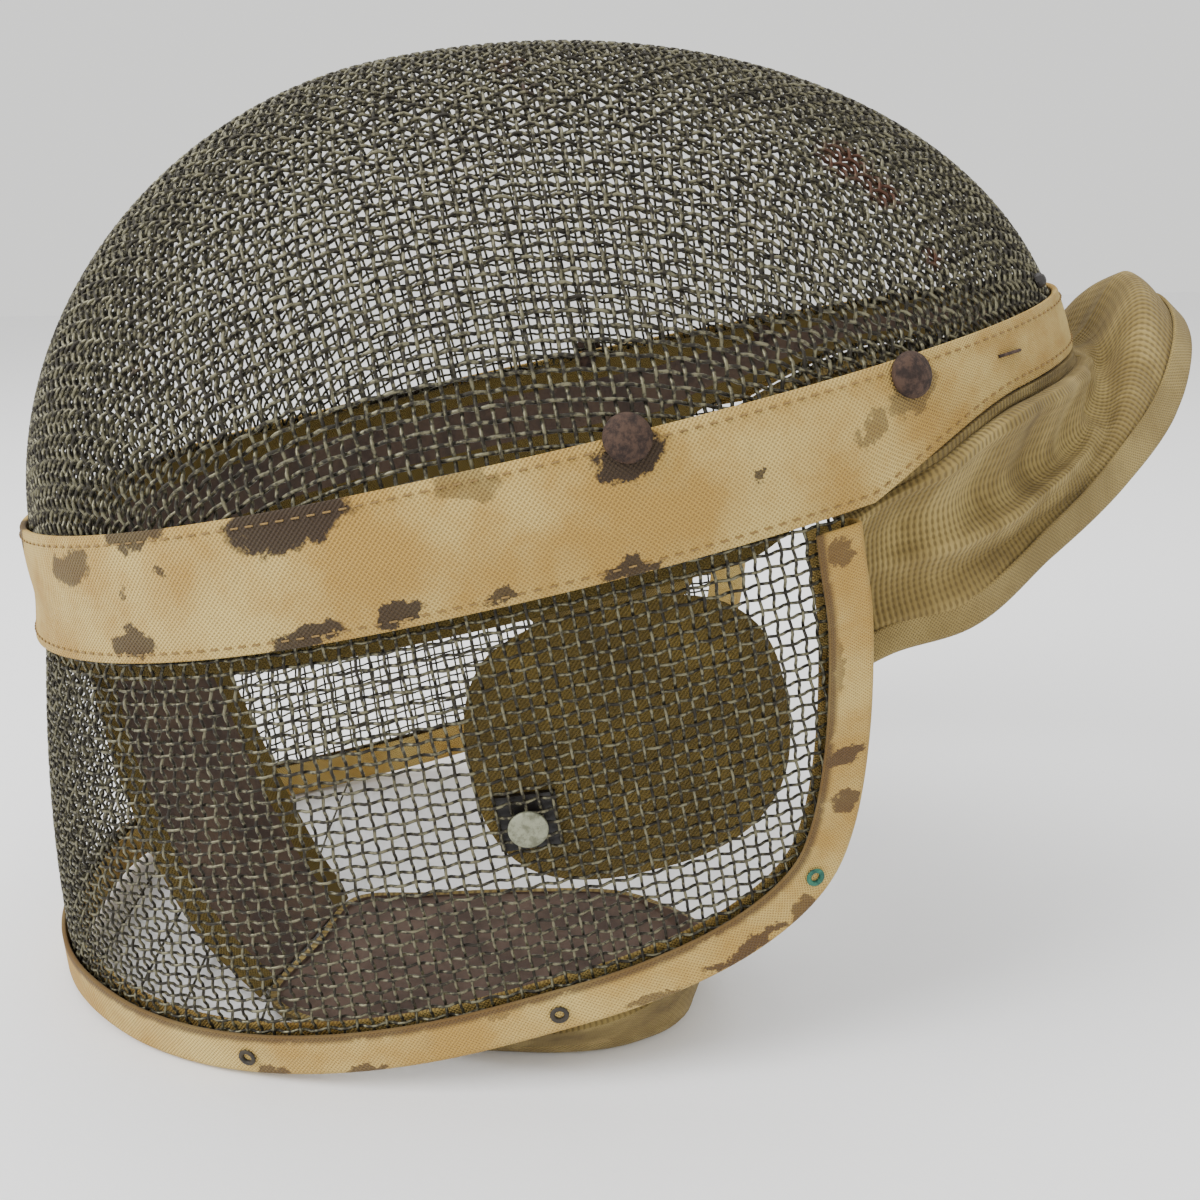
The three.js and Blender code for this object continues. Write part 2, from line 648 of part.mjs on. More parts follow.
function hoodPoint(side, share, outset = 0) {
  const span = Math.abs(side);
  const row = hoodRow(span);
  const seamAngle = Math.PI - span * HOOD_SEAM_SPAN;
  const edgeAngle = Math.PI - span * HOOD_EDGE_SPAN;
  const seamHeight = bandBottom(seamAngle);
  const seamOut = hoodOutset(span);
  const flare = (angle, out, height) => {
    const point = cageBase(angle, Math.min(height, 0)).setZ(height);
    return point.addScaledVector(cageNormal(angle, Math.min(height, 0)), out);
  };
  const bend = row.bendOut * HOOD_REACH;
  const line = new THREE.CatmullRomCurve3([
    cage(seamAngle, seamHeight - HOOD_SEAM_GAP, seamOut),
    cage(seamAngle, seamHeight - HOOD_HANG, seamOut),
    flare(seamAngle, seamOut + Math.max(bend, 0) * HOOD_TURN_OUT, seamHeight - HOOD_TURN),
    flare((seamAngle + edgeAngle) / 2, bend, -row.bendDrop * HOOD_DROP),
    flare(edgeAngle, row.crestOut * HOOD_REACH, -row.crestDrop * HOOD_DROP),
    flare(edgeAngle, row.edgeOut * HOOD_REACH, -row.edgeDrop * HOOD_DROP),
  ]);
  const point = line.getPoint(share);
  point.x *= Math.sign(side) || 1;
  return outset === 0 ? point : point.addScaledVector(hoodNormal(side, share), outset);
}

function hoodNormal(side, share) {
  const step = 0.01;
  const low = Math.max(share - step, 0);
  const high = Math.min(share + step, 1);
  const limit = 1 - 1e-6;
  const before = Math.max(side - step, -limit);
  const after = Math.min(side + step, limit);
  const round = hoodPoint(after, share).sub(hoodPoint(before, share));
  const down = hoodPoint(side, high).sub(hoodPoint(side, low));
  return round.cross(down).normalize().multiplyScalar(-1);
}

// Folds start below the band and fade out before the bound edge
function gather(side, share) {
  const fold = THREE.MathUtils.clamp((share - HOOD_FOLD_START) / HOOD_FOLD_SPAN, 0, 1);
  const window = Math.sin(Math.PI * fold) ** 2;
  return HOOD_GATHER * window * Math.sin(2 * Math.PI * HOOD_GATHERS * Math.abs(side));
}

// The share of a section's length where its tape begins, a tape's width from the edge
function hoodTapeStart(side) {
  const edge = hoodPoint(side, 1);
  let [low, high] = [0.5, 1];
  while (high - low > 1e-4) {
    const middle = (low + high) / 2;
    if (hoodPoint(side, middle).distanceTo(edge) > HOOD_TAPE_WIDTH) low = middle;
    else high = middle;
  }
  return low;
}

const hoodSections = Array.from({ length: HOOD_COLUMNS + 1 }, (_, i) => {
  const side = (2 * i) / HOOD_COLUMNS - 1;
  return { side, tapeStart: hoodTapeStart(side) };
});

function rearHood() {
  const rows = Array.from({ length: HOOD_ROWS + 1 }, (_, j) => j / HOOD_ROWS);
  return lofted(hoodSections.map(({ side, tapeStart }) => {
    const shares = [...rows.map((row) => row * tapeStart), 1];
    const wall = (half) => shares.map((share) => hoodPoint(side, share, half + gather(side, share)));
    return { outer: wall(HOOD_WALL / 2), inner: wall(-HOOD_WALL / 2) };
  }));
}

function hoodBinding() {
  return foldedTape(hoodSections.map(({ side, tapeStart }) => {
    const point = hoodPoint(side, 1);
    const tip = hoodPoint(side, tapeStart);
    return {
      point,
      tip,
      normal: hoodNormal(side, 1),
      tipNormal: hoodNormal(side, tapeStart),
      inward: tip.clone().sub(point).normalize(),
    };
  }), HOOD_WALL, BAND_GAP, BAND_GAP, HOOD_TAPE_WALL);
}

// Cheek pad: a crowned oval lying inside the face, its top just under the lining
function cheekPad(side) {
  const outset = -outerSkin - INNER_GAP - WASHER_WALL - GAP;
  const middle = liningBottom(PAD_ANGLE - PAD_HALF_ANGLE) - PAD_TOP_GAP - PAD_HALF_HEIGHT;
  const at = (ring, turn, inward) => {
    const [c, s] = [Math.cos(turn), Math.sin(turn)];
    const oval = (Math.abs(c) ** PAD_SQUARENESS + Math.abs(s) ** PAD_SQUARENESS) ** (-1 / PAD_SQUARENESS);
    const angle = PAD_ANGLE + ring * oval * c * PAD_HALF_ANGLE;
    const height = middle + ring * oval * s * PAD_HALF_HEIGHT;
    const point = cage(angle, height, outset - inward);
    point.x *= side.sign;
    return point;
  };
  const rings = Array.from({ length: PAD_RINGS + 1 }, (_, k) => k / PAD_RINGS);
  const sections = Array.from({ length: PAD_SIDES }, (_, i) => {
    const turn = (i / PAD_SIDES) * 2 * Math.PI;
    const crowned = (ring) => PAD_EDGE + (PAD_THICKNESS - PAD_EDGE) * (1 - ring ** PAD_CROWN);
    return {
      outer: rings.map((ring) => at(ring, turn, 0)),
      inner: rings.map((ring) => at(ring, turn, crowned(ring))),
    };
  });
  return bored(lofted(sections, true), padRivetSeats, shankHole);
}

function cheekWasher() {
  const height = -outerSkin - GAP - INNER_GAP - outerSkin - WASHER_WALL / 2;
  const plate = new THREE.BoxGeometry(WASHER_SIZE, WASHER_WALL, WASHER_SIZE);
  plate.translate(0, height, 0);
  const seat = { point: new THREE.Vector3(), axis: new THREE.Vector3(0, 1, 0) };
  return bored(plate, [seat], shankHole);
}

// Profile of a round head, from its top down to its edge
const domed = (radius, height, edge) => Array.from({ length: DOME_STEPS + 1 }, (_, k) => {
  const turn = (k / DOME_STEPS) * Math.PI / 2;
  return [radius * Math.sin(turn), edge + (height - edge) * Math.cos(turn)];
});

// Rivets are turned: head outside, shank through the layers, clenched end inside
function rivet(head, dome, depth) {
  const [r, s, c] = [head / 2, RIVET_SHANK / 2, RIVET_CLENCH / 2];
  const profile = [
    ...domed(r, dome, RIVET_EDGE), [r, 0], [s, 0], [s, -depth],
    [c, -depth], [c, -depth - RIVET_CLENCH_WALL], [0, -depth - RIVET_CLENCH_WALL],
  ];
  return turned(profile, LATHE_SIDES);
}

const crownStud = () =>
  turned([...domed(STUD_HEAD / 2, STUD_HEIGHT, STUD_EDGE), [STUD_HEAD / 2, 0], [0, 0]], EYELET_SIDES);

// Staples lie on the band and rise a little towards the back
function bandStaple(side) {
  const height = bandTop(STAPLE.angle) - STAPLE.below * BAND_WIDTH;
  const seat = seatOn(STAPLE.angle, height, bandOuter + GAP + STAPLE_WIRE / 2, side.sign);
  const up = new THREE.Vector3(0, 0, 1).addScaledVector(seat.axis, -seat.axis.z).normalize();
  const back = up.clone().cross(seat.axis).multiplyScalar(side.sign);
  const along = back.multiplyScalar(Math.cos(STAPLE.slope)).addScaledVector(up, Math.sin(STAPLE.slope));
  const wire = new THREE.BoxGeometry(STAPLE_LENGTH, STAPLE_WIRE, STAPLE_WIRE);
  const staple = piece(`band_staple_${side.name}`, wire, rustFinish);
  const basis = new THREE.Matrix4().makeBasis(along, seat.axis, along.clone().cross(seat.axis));
  staple.position.copy(seat.point);
  staple.quaternion.setFromRotationMatrix(basis);
  return staple;
}

// The cage group is tilted back, and lifted until its lowest tape edge is on the floor
const cageGroup = new THREE.Group();
cageGroup.rotation.x = CAGE_TILT;
cageGroup.add(
  piece('crown_mesh', crownMesh(), wireFinish),
  piece('face_mesh', faceMesh(), wireFinish),
  piece('canvas_band', canvasBand(), canvasFinish),
  piece('band_lining', lining(), leatherFinish),
  piece('edge_binding', edgeBinding(), tapeFinish),
  piece('rear_hood', rearHood(), twillFinish),
  piece('hood_binding', hoodBinding(), tapeFinish),
);
for (const side of sides) {
  cageGroup.add(piece(`cheek_pad_${side.name}`, cheekPad(side), padFinish), bandStaple(side));
}
for (const seat of bandRivetSeats) {
  cageGroup.add(place(piece(seat.name, rivet(RIVET_HEAD, RIVET_DOME, bandStack), rustFinish), seat));
}
for (const seat of padRivetSeats) {
  const washer = piece(seat.name.replace('rivet', 'washer'), cheekWasher(), blackLeatherFinish);
  cageGroup.add(place(piece(seat.name, rivet(PAD_RIVET_HEAD, PAD_RIVET_DOME, padStack), zincFinish), seat));
  cageGroup.add(place(washer, seat));
}
for (const seat of eyeletSeats) {
  cageGroup.add(place(piece(seat.name, eyelet(), zincFinish), seat));
}
const studSeat = seatOn(STUD.angle, bandTop(STUD.angle) + STUD.above * BAND_WIDTH, outerSkin);
cageGroup.add(place(piece('crown_stud', crownStud(), blackLeatherFinish), studSeat));

cageGroup.updateMatrixWorld(true);
const lowest = new THREE.Box3().setFromObject(cageGroup.getObjectByName('edge_binding'), true).min.z;
const bandLift = -lowest;
cageGroup.position.z = bandLift;
cageGroup.updateMatrix();

// Places inside the chin, measured from the middle of the band and from the floor
const inChin = (across, along, height) =>
  new THREE.Vector3(across * HALF_WIDTH, along * FRONT_DEPTH, height * bandLift);

function chinStrap() {
  const outset = liningInner - STRAP_SEAT;
  const height = STRAP_TOP.height * BAND_WIDTH;
  const onLining = (angle) => cage(angle, height, outset).applyMatrix4(cageGroup.matrix);
  const front = new THREE.CatmullRomCurve3([
    onLining(STRAP_TOP.angle), ...STRAP.map((r) => inChin(r.across, r.along, r.height)),
  ]);
  const back = new THREE.CatmullRomCurve3([
    onLining(STRAP_TOP.angleBack), ...STRAP.map((r) => inChin(r.acrossBack, r.alongBack, r.heightBack)),
  ]);
  const steps = 2 * STRAP.length;
  const sections = Array.from({ length: steps + 1 }, (_, i) => {
    const t = i / steps;
    const [a, b] = [front.getPoint(t), back.getPoint(t)];
    const run = front.getTangent(t).add(back.getTangent(t)).normalize();
    const normal = b.clone().sub(a).cross(run).normalize();
    const line = [a, a.clone().lerp(b, 0.5), b];
    return {
      outer: line.map((p) => p.clone().addScaledVector(normal, STRAP_WALL / 2)),
      inner: line.map((p) => p.clone().addScaledVector(normal, -STRAP_WALL / 2)),
    };
  });
  return lofted(sections);
}

// The bib lies on the floor like a shallow dish, with its near edge turned up under the rim
function throatBib() {
  const outline = new THREE.CatmullRomCurve3(
    BIB.map((r) => new THREE.Vector3(r.across * HALF_WIDTH, r.along * FRONT_DEPTH, r.lip * BIB_LIP)), true);
  const middle = BIB.reduce((sum, r) => sum.add(inChin(r.across, r.along, 0)), new THREE.Vector3())
    .divideScalar(BIB.length);
  const sections = Array.from({ length: BIB_SIDES }, (_, i) => {
    const edge = outline.getPoint(i / BIB_SIDES);
    const foot = new THREE.Vector3(edge.x, edge.y, 0);
    const at = (share, height, draw = 0) => {
      const point = middle.clone().lerp(foot, share);
      const outward = foot.clone().sub(middle).normalize();
      return point.addScaledVector(outward, -draw).setZ(height);
    };
    const bend = Math.min(edge.z / 2, BIB_BEND);
    const innerBend = Math.max(bend, BIB_WALL + BIB_EDGE_STEP);
    const lean = BIB_LEAN * Math.max(edge.z - 2 * BIB_WALL, 0);
    return {
      outer: [at(0, 0), at(BIB_FLAT_SHARE, 0), at(1, 0, bend), at(1, bend), at(1, edge.z, -lean)],
      inner: [
        at(0, BIB_WALL), at(BIB_FLAT_SHARE, BIB_WALL), at(1, BIB_WALL, bend + BIB_INNER_STEP),
        at(1, innerBend, BIB_WALL), at(1, edge.z, BIB_WALL - lean),
      ],
    };
  });
  return lofted(sections, true);
}

const group = new THREE.Group();
group.add(
  cageGroup,
  piece('chin_strap', chinStrap(), leatherFinish),
  piece('throat_bib', throatBib(), twillFinish),
);

// The origin is the middle of the footprint, on the floor
group.updateMatrixWorld(true);
const box = new THREE.Box3().setFromObject(group, true);
group.position.set(0, -(box.min.y + box.max.y) / 2, 0);

export default group;
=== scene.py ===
import math

import bmesh
import bpy
import numpy as np
from bpy.props import FloatProperty, FloatVectorProperty, PointerProperty
from mathutils import Matrix, Vector


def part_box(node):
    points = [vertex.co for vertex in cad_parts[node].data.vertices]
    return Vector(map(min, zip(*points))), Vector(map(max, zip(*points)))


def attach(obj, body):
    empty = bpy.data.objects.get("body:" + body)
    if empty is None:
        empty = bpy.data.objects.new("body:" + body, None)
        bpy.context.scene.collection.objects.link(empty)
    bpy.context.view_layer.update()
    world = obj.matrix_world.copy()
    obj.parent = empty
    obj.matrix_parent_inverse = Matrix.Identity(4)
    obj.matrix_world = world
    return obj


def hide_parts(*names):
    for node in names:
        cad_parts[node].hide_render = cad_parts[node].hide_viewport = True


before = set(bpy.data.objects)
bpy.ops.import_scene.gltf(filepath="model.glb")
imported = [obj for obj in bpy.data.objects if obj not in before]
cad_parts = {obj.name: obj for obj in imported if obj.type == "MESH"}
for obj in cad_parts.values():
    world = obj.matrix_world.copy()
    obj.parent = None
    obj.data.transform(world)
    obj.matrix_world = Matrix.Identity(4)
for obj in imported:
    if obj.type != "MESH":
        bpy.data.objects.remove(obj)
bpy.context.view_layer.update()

bl_info = {
    "name": "Fencing mask",
    "version": (1, 0, 0),
    "blender": (4, 5, 0),
    "location": "3D View > Sidebar > Mask",
    "description": "Woven wire fencing mask with a canvas band, taped edge, cloth hood, pads, strap and bib",
    "category": "Add Mesh",
}

MM = 0.001

# Wire cage, in millimetres in its own frame: X across, Y towards the back, Z up from the band's middle
HALF_WIDTH = 105.5
FRONT_DEPTH = 119
BACK_DEPTH = 165.5
CROWN_HEIGHT = 109.5
FACE_DROP = 127
CAGE_TILT = 0.167
REAR_EDGE_ANGLE = 2.11
MESH_WALL = 2
FRONT_SQUARENESS = 2.34
BACK_SQUARENESS = 2
FRONT_ARCH = 1.94
BACK_ARCH = 2
SIDE_ARCH = 1.79
FACE_LEAN = 0.42
FACE_BOW = 0.155
SIDE_LEAN = 0.075
LEAN_SOFTNESS = 5

# Band, lining and tape
BAND_WIDTH = 29
BAND_TOP_RISE = 6.2
BAND_BOTTOM_RISE = 7.8
BAND_END_GAP = 0.07
CANVAS_WALL = 1.6
LINING_WALL = 2
LINING_SHOWS = 6
LINING_TOP_INSET = 1
LINING_STEP_ANGLE = 0.18
LINING_REAR_STEP = 8.5
BAND_REAR_RISE = 12.5
BAND_NARROW_START = 0.03
BAND_NARROW_ANGLE = 0.36
TAPE_WIDTH = 10.5
TAPE_WALL = 1.2
GAP = 0.3
BAND_GAP = 0.45
INNER_GAP = 0.7
LINING_GAP = 1.1
TAPE_INNER_GAP = 1.2
FOLD_GAP = 0.7
HOOD_SEAM_GAP = 0.6
HOOD_TUCK_GAP = 0.5
PAD_TOP_GAP = 0.5
STRAP_SEAT = 0.8

# Hood, strap, bib and pads
HOOD_WALL = 1.6
HOOD_REACH = 36.5
HOOD_DROP = 52
HOOD_SEAM_SPAN = 1.04
HOOD_EDGE_SPAN = 1.07
HOOD_HANG = 2.5
HOOD_TURN = 4.4
HOOD_TURN_OUT = 0.4
HOOD_TUCK_START = 0.82
HOOD_TUCK_END = 0.97
HOOD_TAPE_WIDTH = 6.5
HOOD_TAPE_WALL = 1
STRAP_WALL = 2.2
BORDER_WIDTH = 6.5
BIB_WALL = 2
BIB_LIP = 23
BIB_LEAN = 0.3
BIB_BEND = 5
PAD_ANGLE = 1.74
PAD_HALF_ANGLE = 0.24
PAD_HALF_HEIGHT = 34
PAD_THICKNESS = 6
PAD_EDGE = 2
PAD_SQUARENESS = 2.6
PAD_CROWN = 3
WASHER_WALL = 1.2

# The crown solid's own facets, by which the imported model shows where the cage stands
CROWN_COLUMNS = 44
CROWN_ROWS = 9

# Edge of the face from the band down the rear edge and along the chin, in shares
RIM = (
    (1.000, 0.000), (1.000, 0.150), (1.000, 0.300), (0.987, 0.510), (0.965, 0.690), (0.935, 0.800),
    (0.880, 0.880), (0.805, 0.930), (0.716, 0.958), (0.633, 0.977), (0.549, 0.981), (0.460, 0.968),
    (0.380, 0.942), (0.290, 0.908), (0.150, 0.881), (0.000, 0.872),
)

# Hood sections: span, bend out and drop, crest out and drop, edge out and drop
HOOD = (
    (0.00, 0.34, -0.10, 0.68, -0.36, 1.00, -0.10),
    (0.12, 0.31, -0.03, 0.62, -0.24, 0.90, 0.03),
    (0.24, 0.20, 0.10, 0.48, 0.06, 0.70, 0.27),
    (0.42, 0.16, 0.29, 0.32, 0.36, 0.41, 0.50),
    (0.62, 0.10, 0.37, 0.18, 0.51, 0.20, 0.69),
    (0.78, 0.04, 0.41, 0.06, 0.63, 0.08, 0.88),
    (0.90, -0.12, 0.43, -0.12, 0.68, -0.12, 0.93),
    (1.00, -0.18, 0.44, -0.20, 0.72, -0.20, 1.00),
)

# Strap edges below the lining: across, along and height in front, then behind
STRAP_TOP = {"angle": 0.12, "back": -0.27, "height": -0.328}
STRAP = (
    (0.10, -0.935, 0.705, -0.27, -0.815, 0.670),
    (0.06, -0.990, 0.632, -0.25, -0.760, 0.555),
    (0.05, -0.985, 0.480, -0.13, -0.655, 0.410),
    (0.07, -0.950, 0.325, -0.03, -0.565, 0.275),
    (0.19, -0.850, 0.175, 0.01, -0.475, 0.110),
    (0.38, -0.705, 0.080, 0.03, -0.430, 0.045),
    (0.54, -0.541, 0.018, 0.07, -0.407, 0.018),
)

# Bib outline: across, along and lip
BIB = (
    (0.07, -0.390, 0.14), (0.30, -0.455, 0.14), (0.53, -0.520, 0.14), (0.655, -0.430, 0.15),
    (0.715, -0.260, 0.15), (0.765, -0.120, 0.19), (0.805, 0.030, 0.32), (0.825, 0.190, 0.46),
    (0.790, 0.330, 0.68), (0.690, 0.440, 1.10), (0.440, 0.480, 0.55), (0.210, 0.425, 0.22),
    (0.080, 0.300, 0.12), (0.050, 0.060, 0.12), (0.050, -0.200, 0.12),
)

# Depths of the rivets through their layers, and of their tails
BAND_STACK = 8.05
PAD_STACK = 10.8
TAIL = 1

# Fastener seats: angle round the cage, and shares of the band's width under its top edge
BAND_RIVETS = (("front", 1.805, 0.031), ("rear", 2.235, 0.138))
PAD_RIVET = {"angle": 1.577, "drop": 0.52}
EYELETS = (("front", 1.03), ("middle", 1.56), ("rear", 1.985))
STAPLE = {"angle": 2.476, "below": 0.241, "slope": 0.1, "length": 9, "wire": 0.8}
SIDES = (("left", 1), ("right", -1))

OUTER_SKIN = MESH_WALL / 2
BAND_INNER = OUTER_SKIN + BAND_GAP
BAND_OUTER = BAND_INNER + CANVAS_WALL
LINING_OUTER = -OUTER_SKIN - LINING_GAP
LINING_INNER = LINING_OUTER - LINING_WALL
HOOD_ON_CAGE = BAND_INNER + HOOD_WALL / 2
HOOD_TUCKED = -OUTER_SKIN - TAPE_INNER_GAP - TAPE_WALL - HOOD_TUCK_GAP - HOOD_WALL / 2

# Camera, fitted to the photograph in the cage's frame: millimetres and radians
CAMERA_AT = (347.07, 18.94, 60.53)
CAMERA_YAW = 0.0417
CAMERA_PITCH = 0.2873
CAMERA_ROLL = -0.01895
CAMERA_LENS = 36
CAMERA_SENSOR = 36


def linear(code):
    """An sRGB hex colour as linear red, green, blue and alpha."""
    parts = [int(code[k:k + 2], 16) / 255 for k in (1, 3, 5)]
    return tuple(c / 12.92 if c <= 0.04045 else ((c + 0.055) / 1.055) ** 2.4 for c in parts) + (1.0,)


def colour(name, code, description):
    return FloatVectorProperty(name=name, description=description, subtype="COLOR", size=4, min=0, max=1,
                               default=linear(code))


def length(name, millimetres, description):
    return FloatProperty(name=name, description=description, default=millimetres * MM, min=0,
                         subtype="DISTANCE", unit="LENGTH", precision=5)


class MaskSizes(bpy.types.PropertyGroup):
    """Sizes of the parts that are woven or sewn."""
    wire_pitch: length("Wire pitch", 3.175, "Distance between neighbouring wires, eight to the inch")
    crown_wire: length("Crown wire", 0.92, "Diameter of the crown's wires")
    face_wire: length("Face wire", 0.78, "Diameter of the face's wires")
    thread_pitch: length("Canvas thread", 0.56, "Distance between neighbouring canvas threads")
    tape_pitch: length("Tape thread", 0.45, "Distance between neighbouring tape threads")
    twill_pitch: length("Twill rib", 1.25, "Distance between neighbouring twill ribs")


class MaskColours(bpy.types.PropertyGroup):
    """Colours of the finishes."""
    wire: colour("Wire", "#26221a", "Tarnished steel wire")
    # Painted glints: this colour, in small random flecks on the wire, stands in for highlights.
    wire_glint: colour("Bright wire", "#6b6750", "Wire where the tarnish has rubbed off")
    wire_rust: colour("Wire rust", "#432614", "Rust on the wire")
    canvas: colour("Canvas", "#b08c42", "Aged cotton canvas")
    canvas_pale: colour("Pale canvas", "#cfb56c", "Canvas where it has rubbed clean")
    canvas_gap: colour("Canvas gaps", "#69471c", "Shaded gaps between the threads")
    stain: colour("Stain", "#22130a", "Dark brown stain on the canvas")
    leather: colour("Leather", "#4d3a2a", "Dull brown leather")
    olive: colour("Olive cloth", "#62511f", "Olive twill and tape inside")
    olive_pale: colour("Worn olive cloth", "#6a5828", "Olive twill where it is worn")
    khaki: colour("Khaki twill", "#7c6939", "Khaki twill of the hood and bib")
    khaki_pale: colour("Faded khaki", "#9a8650", "Khaki twill on its crests")
    # Grime in patches, and painted shade between the twill's ribs and between the tape's threads.
    khaki_grime_and_shade: colour("Grimy khaki", "#433315", "Khaki twill in its folds")
    rust: colour("Rusted rivet", "#493529", "Rusted steel rivet")
    zinc: colour("Zinc", "#8b8d78", "Dull zinc plate")
    black: colour("Black leather", "#211c19", "Black leather washer and stud")


def ramp(x):
    return np.sqrt(x * x + LEAN_SOFTNESS ** 2) - LEAN_SOFTNESS


def cage_base(angle, height):
    """Points on the cage, from the angle round it and the height over the band's middle."""
    angle, height = np.broadcast_arrays(np.asarray(angle, float), np.asarray(height, float))
    below = np.maximum(-height, 0)
    rise = np.clip(height / CROWN_HEIGHT, 0, 1)

    def arch(power):
        return (1 - rise ** power) ** (1 / power)

    front = FRONT_DEPTH * arch(FRONT_ARCH) + FACE_LEAN * ramp(below) - FACE_BOW * below ** 2 / FACE_DROP
    back = BACK_DEPTH * arch(BACK_ARCH)
    side = HALF_WIDTH * arch(SIDE_ARCH) - SIDE_LEAN * ramp(below)
    c, s = np.cos(angle), np.sin(angle)
    power = np.where(c >= 0, FRONT_SQUARENESS, BACK_SQUARENESS)
    radius = (np.abs(c) ** power + np.abs(s) ** power) ** (-1 / power)
    depth = np.where(c >= 0, front, back)
    return np.stack([side * radius * s, -depth * radius * c, height], axis=-1)


def unit(vectors):
    return vectors / np.maximum(np.linalg.norm(vectors, axis=-1, keepdims=True), 1e-12)


def cage_normal(angle, height):
    step = 1e-3
    height = np.minimum(height, CROWN_HEIGHT * (1 - 2e-5))
    along = cage_base(angle + step, height) - cage_base(angle - step, height)
    up = cage_base(angle, height + step) - cage_base(angle, height - step)
    return unit(np.cross(along, up))


def cage(angle, height, outset=0.0):
    return cage_base(angle, height) + cage_normal(angle, height) * np.asarray(outset)[..., None]


def tilted(points):
    """The cage's own frame turned back by its tilt."""
    points = np.asarray(points, float)
    c, s = math.cos(CAGE_TILT), math.sin(CAGE_TILT)
    x, y, z = points[..., 0], points[..., 1], points[..., 2]
    return np.stack([x, y * c - z * s, y * s + z * c], axis=-1)


def cage_origin():
    """Where the cage's frame stands in the part, in millimetres, from the crown solid's box."""
    angle = np.arange(CROWN_COLUMNS) / CROWN_COLUMNS * 2 * math.pi
    rows = np.sin(np.arange(CROWN_ROWS + 1) / CROWN_ROWS * math.pi / 2)
    height = GAP / 2 + (CROWN_HEIGHT - GAP / 2) * rows
    grid = tilted(cage(angle[:, None], height[None, :], OUTER_SKIN))
    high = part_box("crown_mesh")[1] / MM
    return np.array([0, high.y - grid[..., 1].max(), high.z - grid[..., 2].max()])


CAGE_ORIGIN = cage_origin()


def to_part(points):
    """From the cage's frame in millimetres to the part's frame in metres."""
    return (tilted(points) + CAGE_ORIGIN) * MM


def band_top(angle):
    return BAND_WIDTH / 2 + BAND_TOP_RISE * ((1 - np.cos(angle)) / 2) ** 2


def band_bottom(angle):
    past = np.clip((np.abs(angle) - REAR_EDGE_ANGLE - BAND_NARROW_START) / BAND_NARROW_ANGLE, 0, 1)
    rise = BAND_BOTTOM_RISE * ((1 - np.cos(angle)) / 2) ** 2 + BAND_REAR_RISE * np.sin(past * math.pi / 2)
    return -BAND_WIDTH / 2 + rise


def soft_step(value, low, high):
    share = np.clip((value - low) / (high - low), 0, 1)
    return share * share * (3 - 2 * share)


def lining_bottom(angle):
    rear = soft_step(np.abs(angle), REAR_EDGE_ANGLE - LINING_STEP_ANGLE, REAR_EDGE_ANGLE)
    return band_bottom(angle) - LINING_SHOWS + LINING_REAR_STEP * rear


def centripetal(points, shares):
    """Points on a smooth curve through a few points, with even shares between neighbours."""
    points = np.asarray(points, float)
    ends = [2 * points[0] - points[1], *points, 2 * points[-1] - points[-2]]
    place = np.clip(np.asarray(shares, float), 0, 1) * (len(points) - 1)
    found = []
    for at in place:
        k = min(int(at), len(points) - 2)
        t = at - k
        p0, p1, p2, p3 = ends[k:k + 4]
        d0, d1, d2 = (max(np.linalg.norm(b - a), 1e-8) ** 0.5 for a, b in ((p0, p1), (p1, p2), (p2, p3)))
        m1 = ((p1 - p0) / d0 - (p2 - p0) / (d0 + d1) + (p2 - p1) / d1) * d1
        m2 = ((p2 - p1) / d1 - (p3 - p1) / (d1 + d2) + (p3 - p2) / d2) * d1
        a = 2 * p1 - 2 * p2 + m1 + m2
        b = -3 * p1 + 3 * p2 - 2 * m1 - m2
        found.append(((a * t + b) * t + m1) * t + p1)
    return np.array(found)


def uniform(points, count, closed=False):
    """A smooth line through a table's points, with count steps between neighbours."""
    points = np.asarray(points, float)
    found = []
    last = len(points) if closed else len(points) - 1
    for k in range(last):
        if closed:
            p0, p1, p2, p3 = (points[(k + n) % len(points)] for n in (-1, 0, 1, 2))
        else:
            p0, p1, p2, p3 = (points[min(max(k + n, 0), len(points) - 1)] for n in (-1, 0, 1, 2))
        for t in np.arange(count) / count:
            m1, m2 = (p2 - p0) / 2, (p3 - p1) / 2
            a = 2 * p1 - 2 * p2 + m1 + m2
            b = -3 * p1 + 3 * p2 - 2 * m1 - m2
            found.append(((a * t + b) * t + m1) * t + p1)
    if not closed:
        found.append(points[-1])
    return np.array(found)


def evenly(points, count):
    """count + 1 points at even distances along a line."""
    steps = np.linalg.norm(np.diff(points, axis=0), axis=1)
    along = np.concatenate([[0], np.cumsum(steps)])
    wanted = np.linspace(0, along[-1], count + 1)
    return np.stack([np.interp(wanted, along, points[:, k]) for k in range(points.shape[1])], axis=1)


def rim_line():
    """The edge of the face from the left rear edge to the right one, as angle and height."""
    half = [(angle * REAR_EDGE_ANGLE * HALF_WIDTH, -GAP / 2 - drop * (FACE_DROP - GAP / 2))
            for angle, drop in RIM]
    line = uniform(half + [(-x, y) for x, y in reversed(half[:-1])], 40)
    return np.stack([line[:, 0] / HALF_WIDTH, line[:, 1]], axis=1)


def new_object(name, mesh):
    made = bpy.data.objects.new(name, mesh)
    bpy.context.scene.collection.objects.link(made)
    return made


def ready(piece, slot, *nodes):
    """The piece rides on the mask and stands for its CAD nodes, which are hidden; slot is not used."""
    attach(piece, "root")
    if nodes:
        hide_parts(*nodes)
    return piece


def smooth(mesh):
    mesh.polygons.foreach_set("use_smooth", [True] * len(mesh.polygons))
    mesh.update()


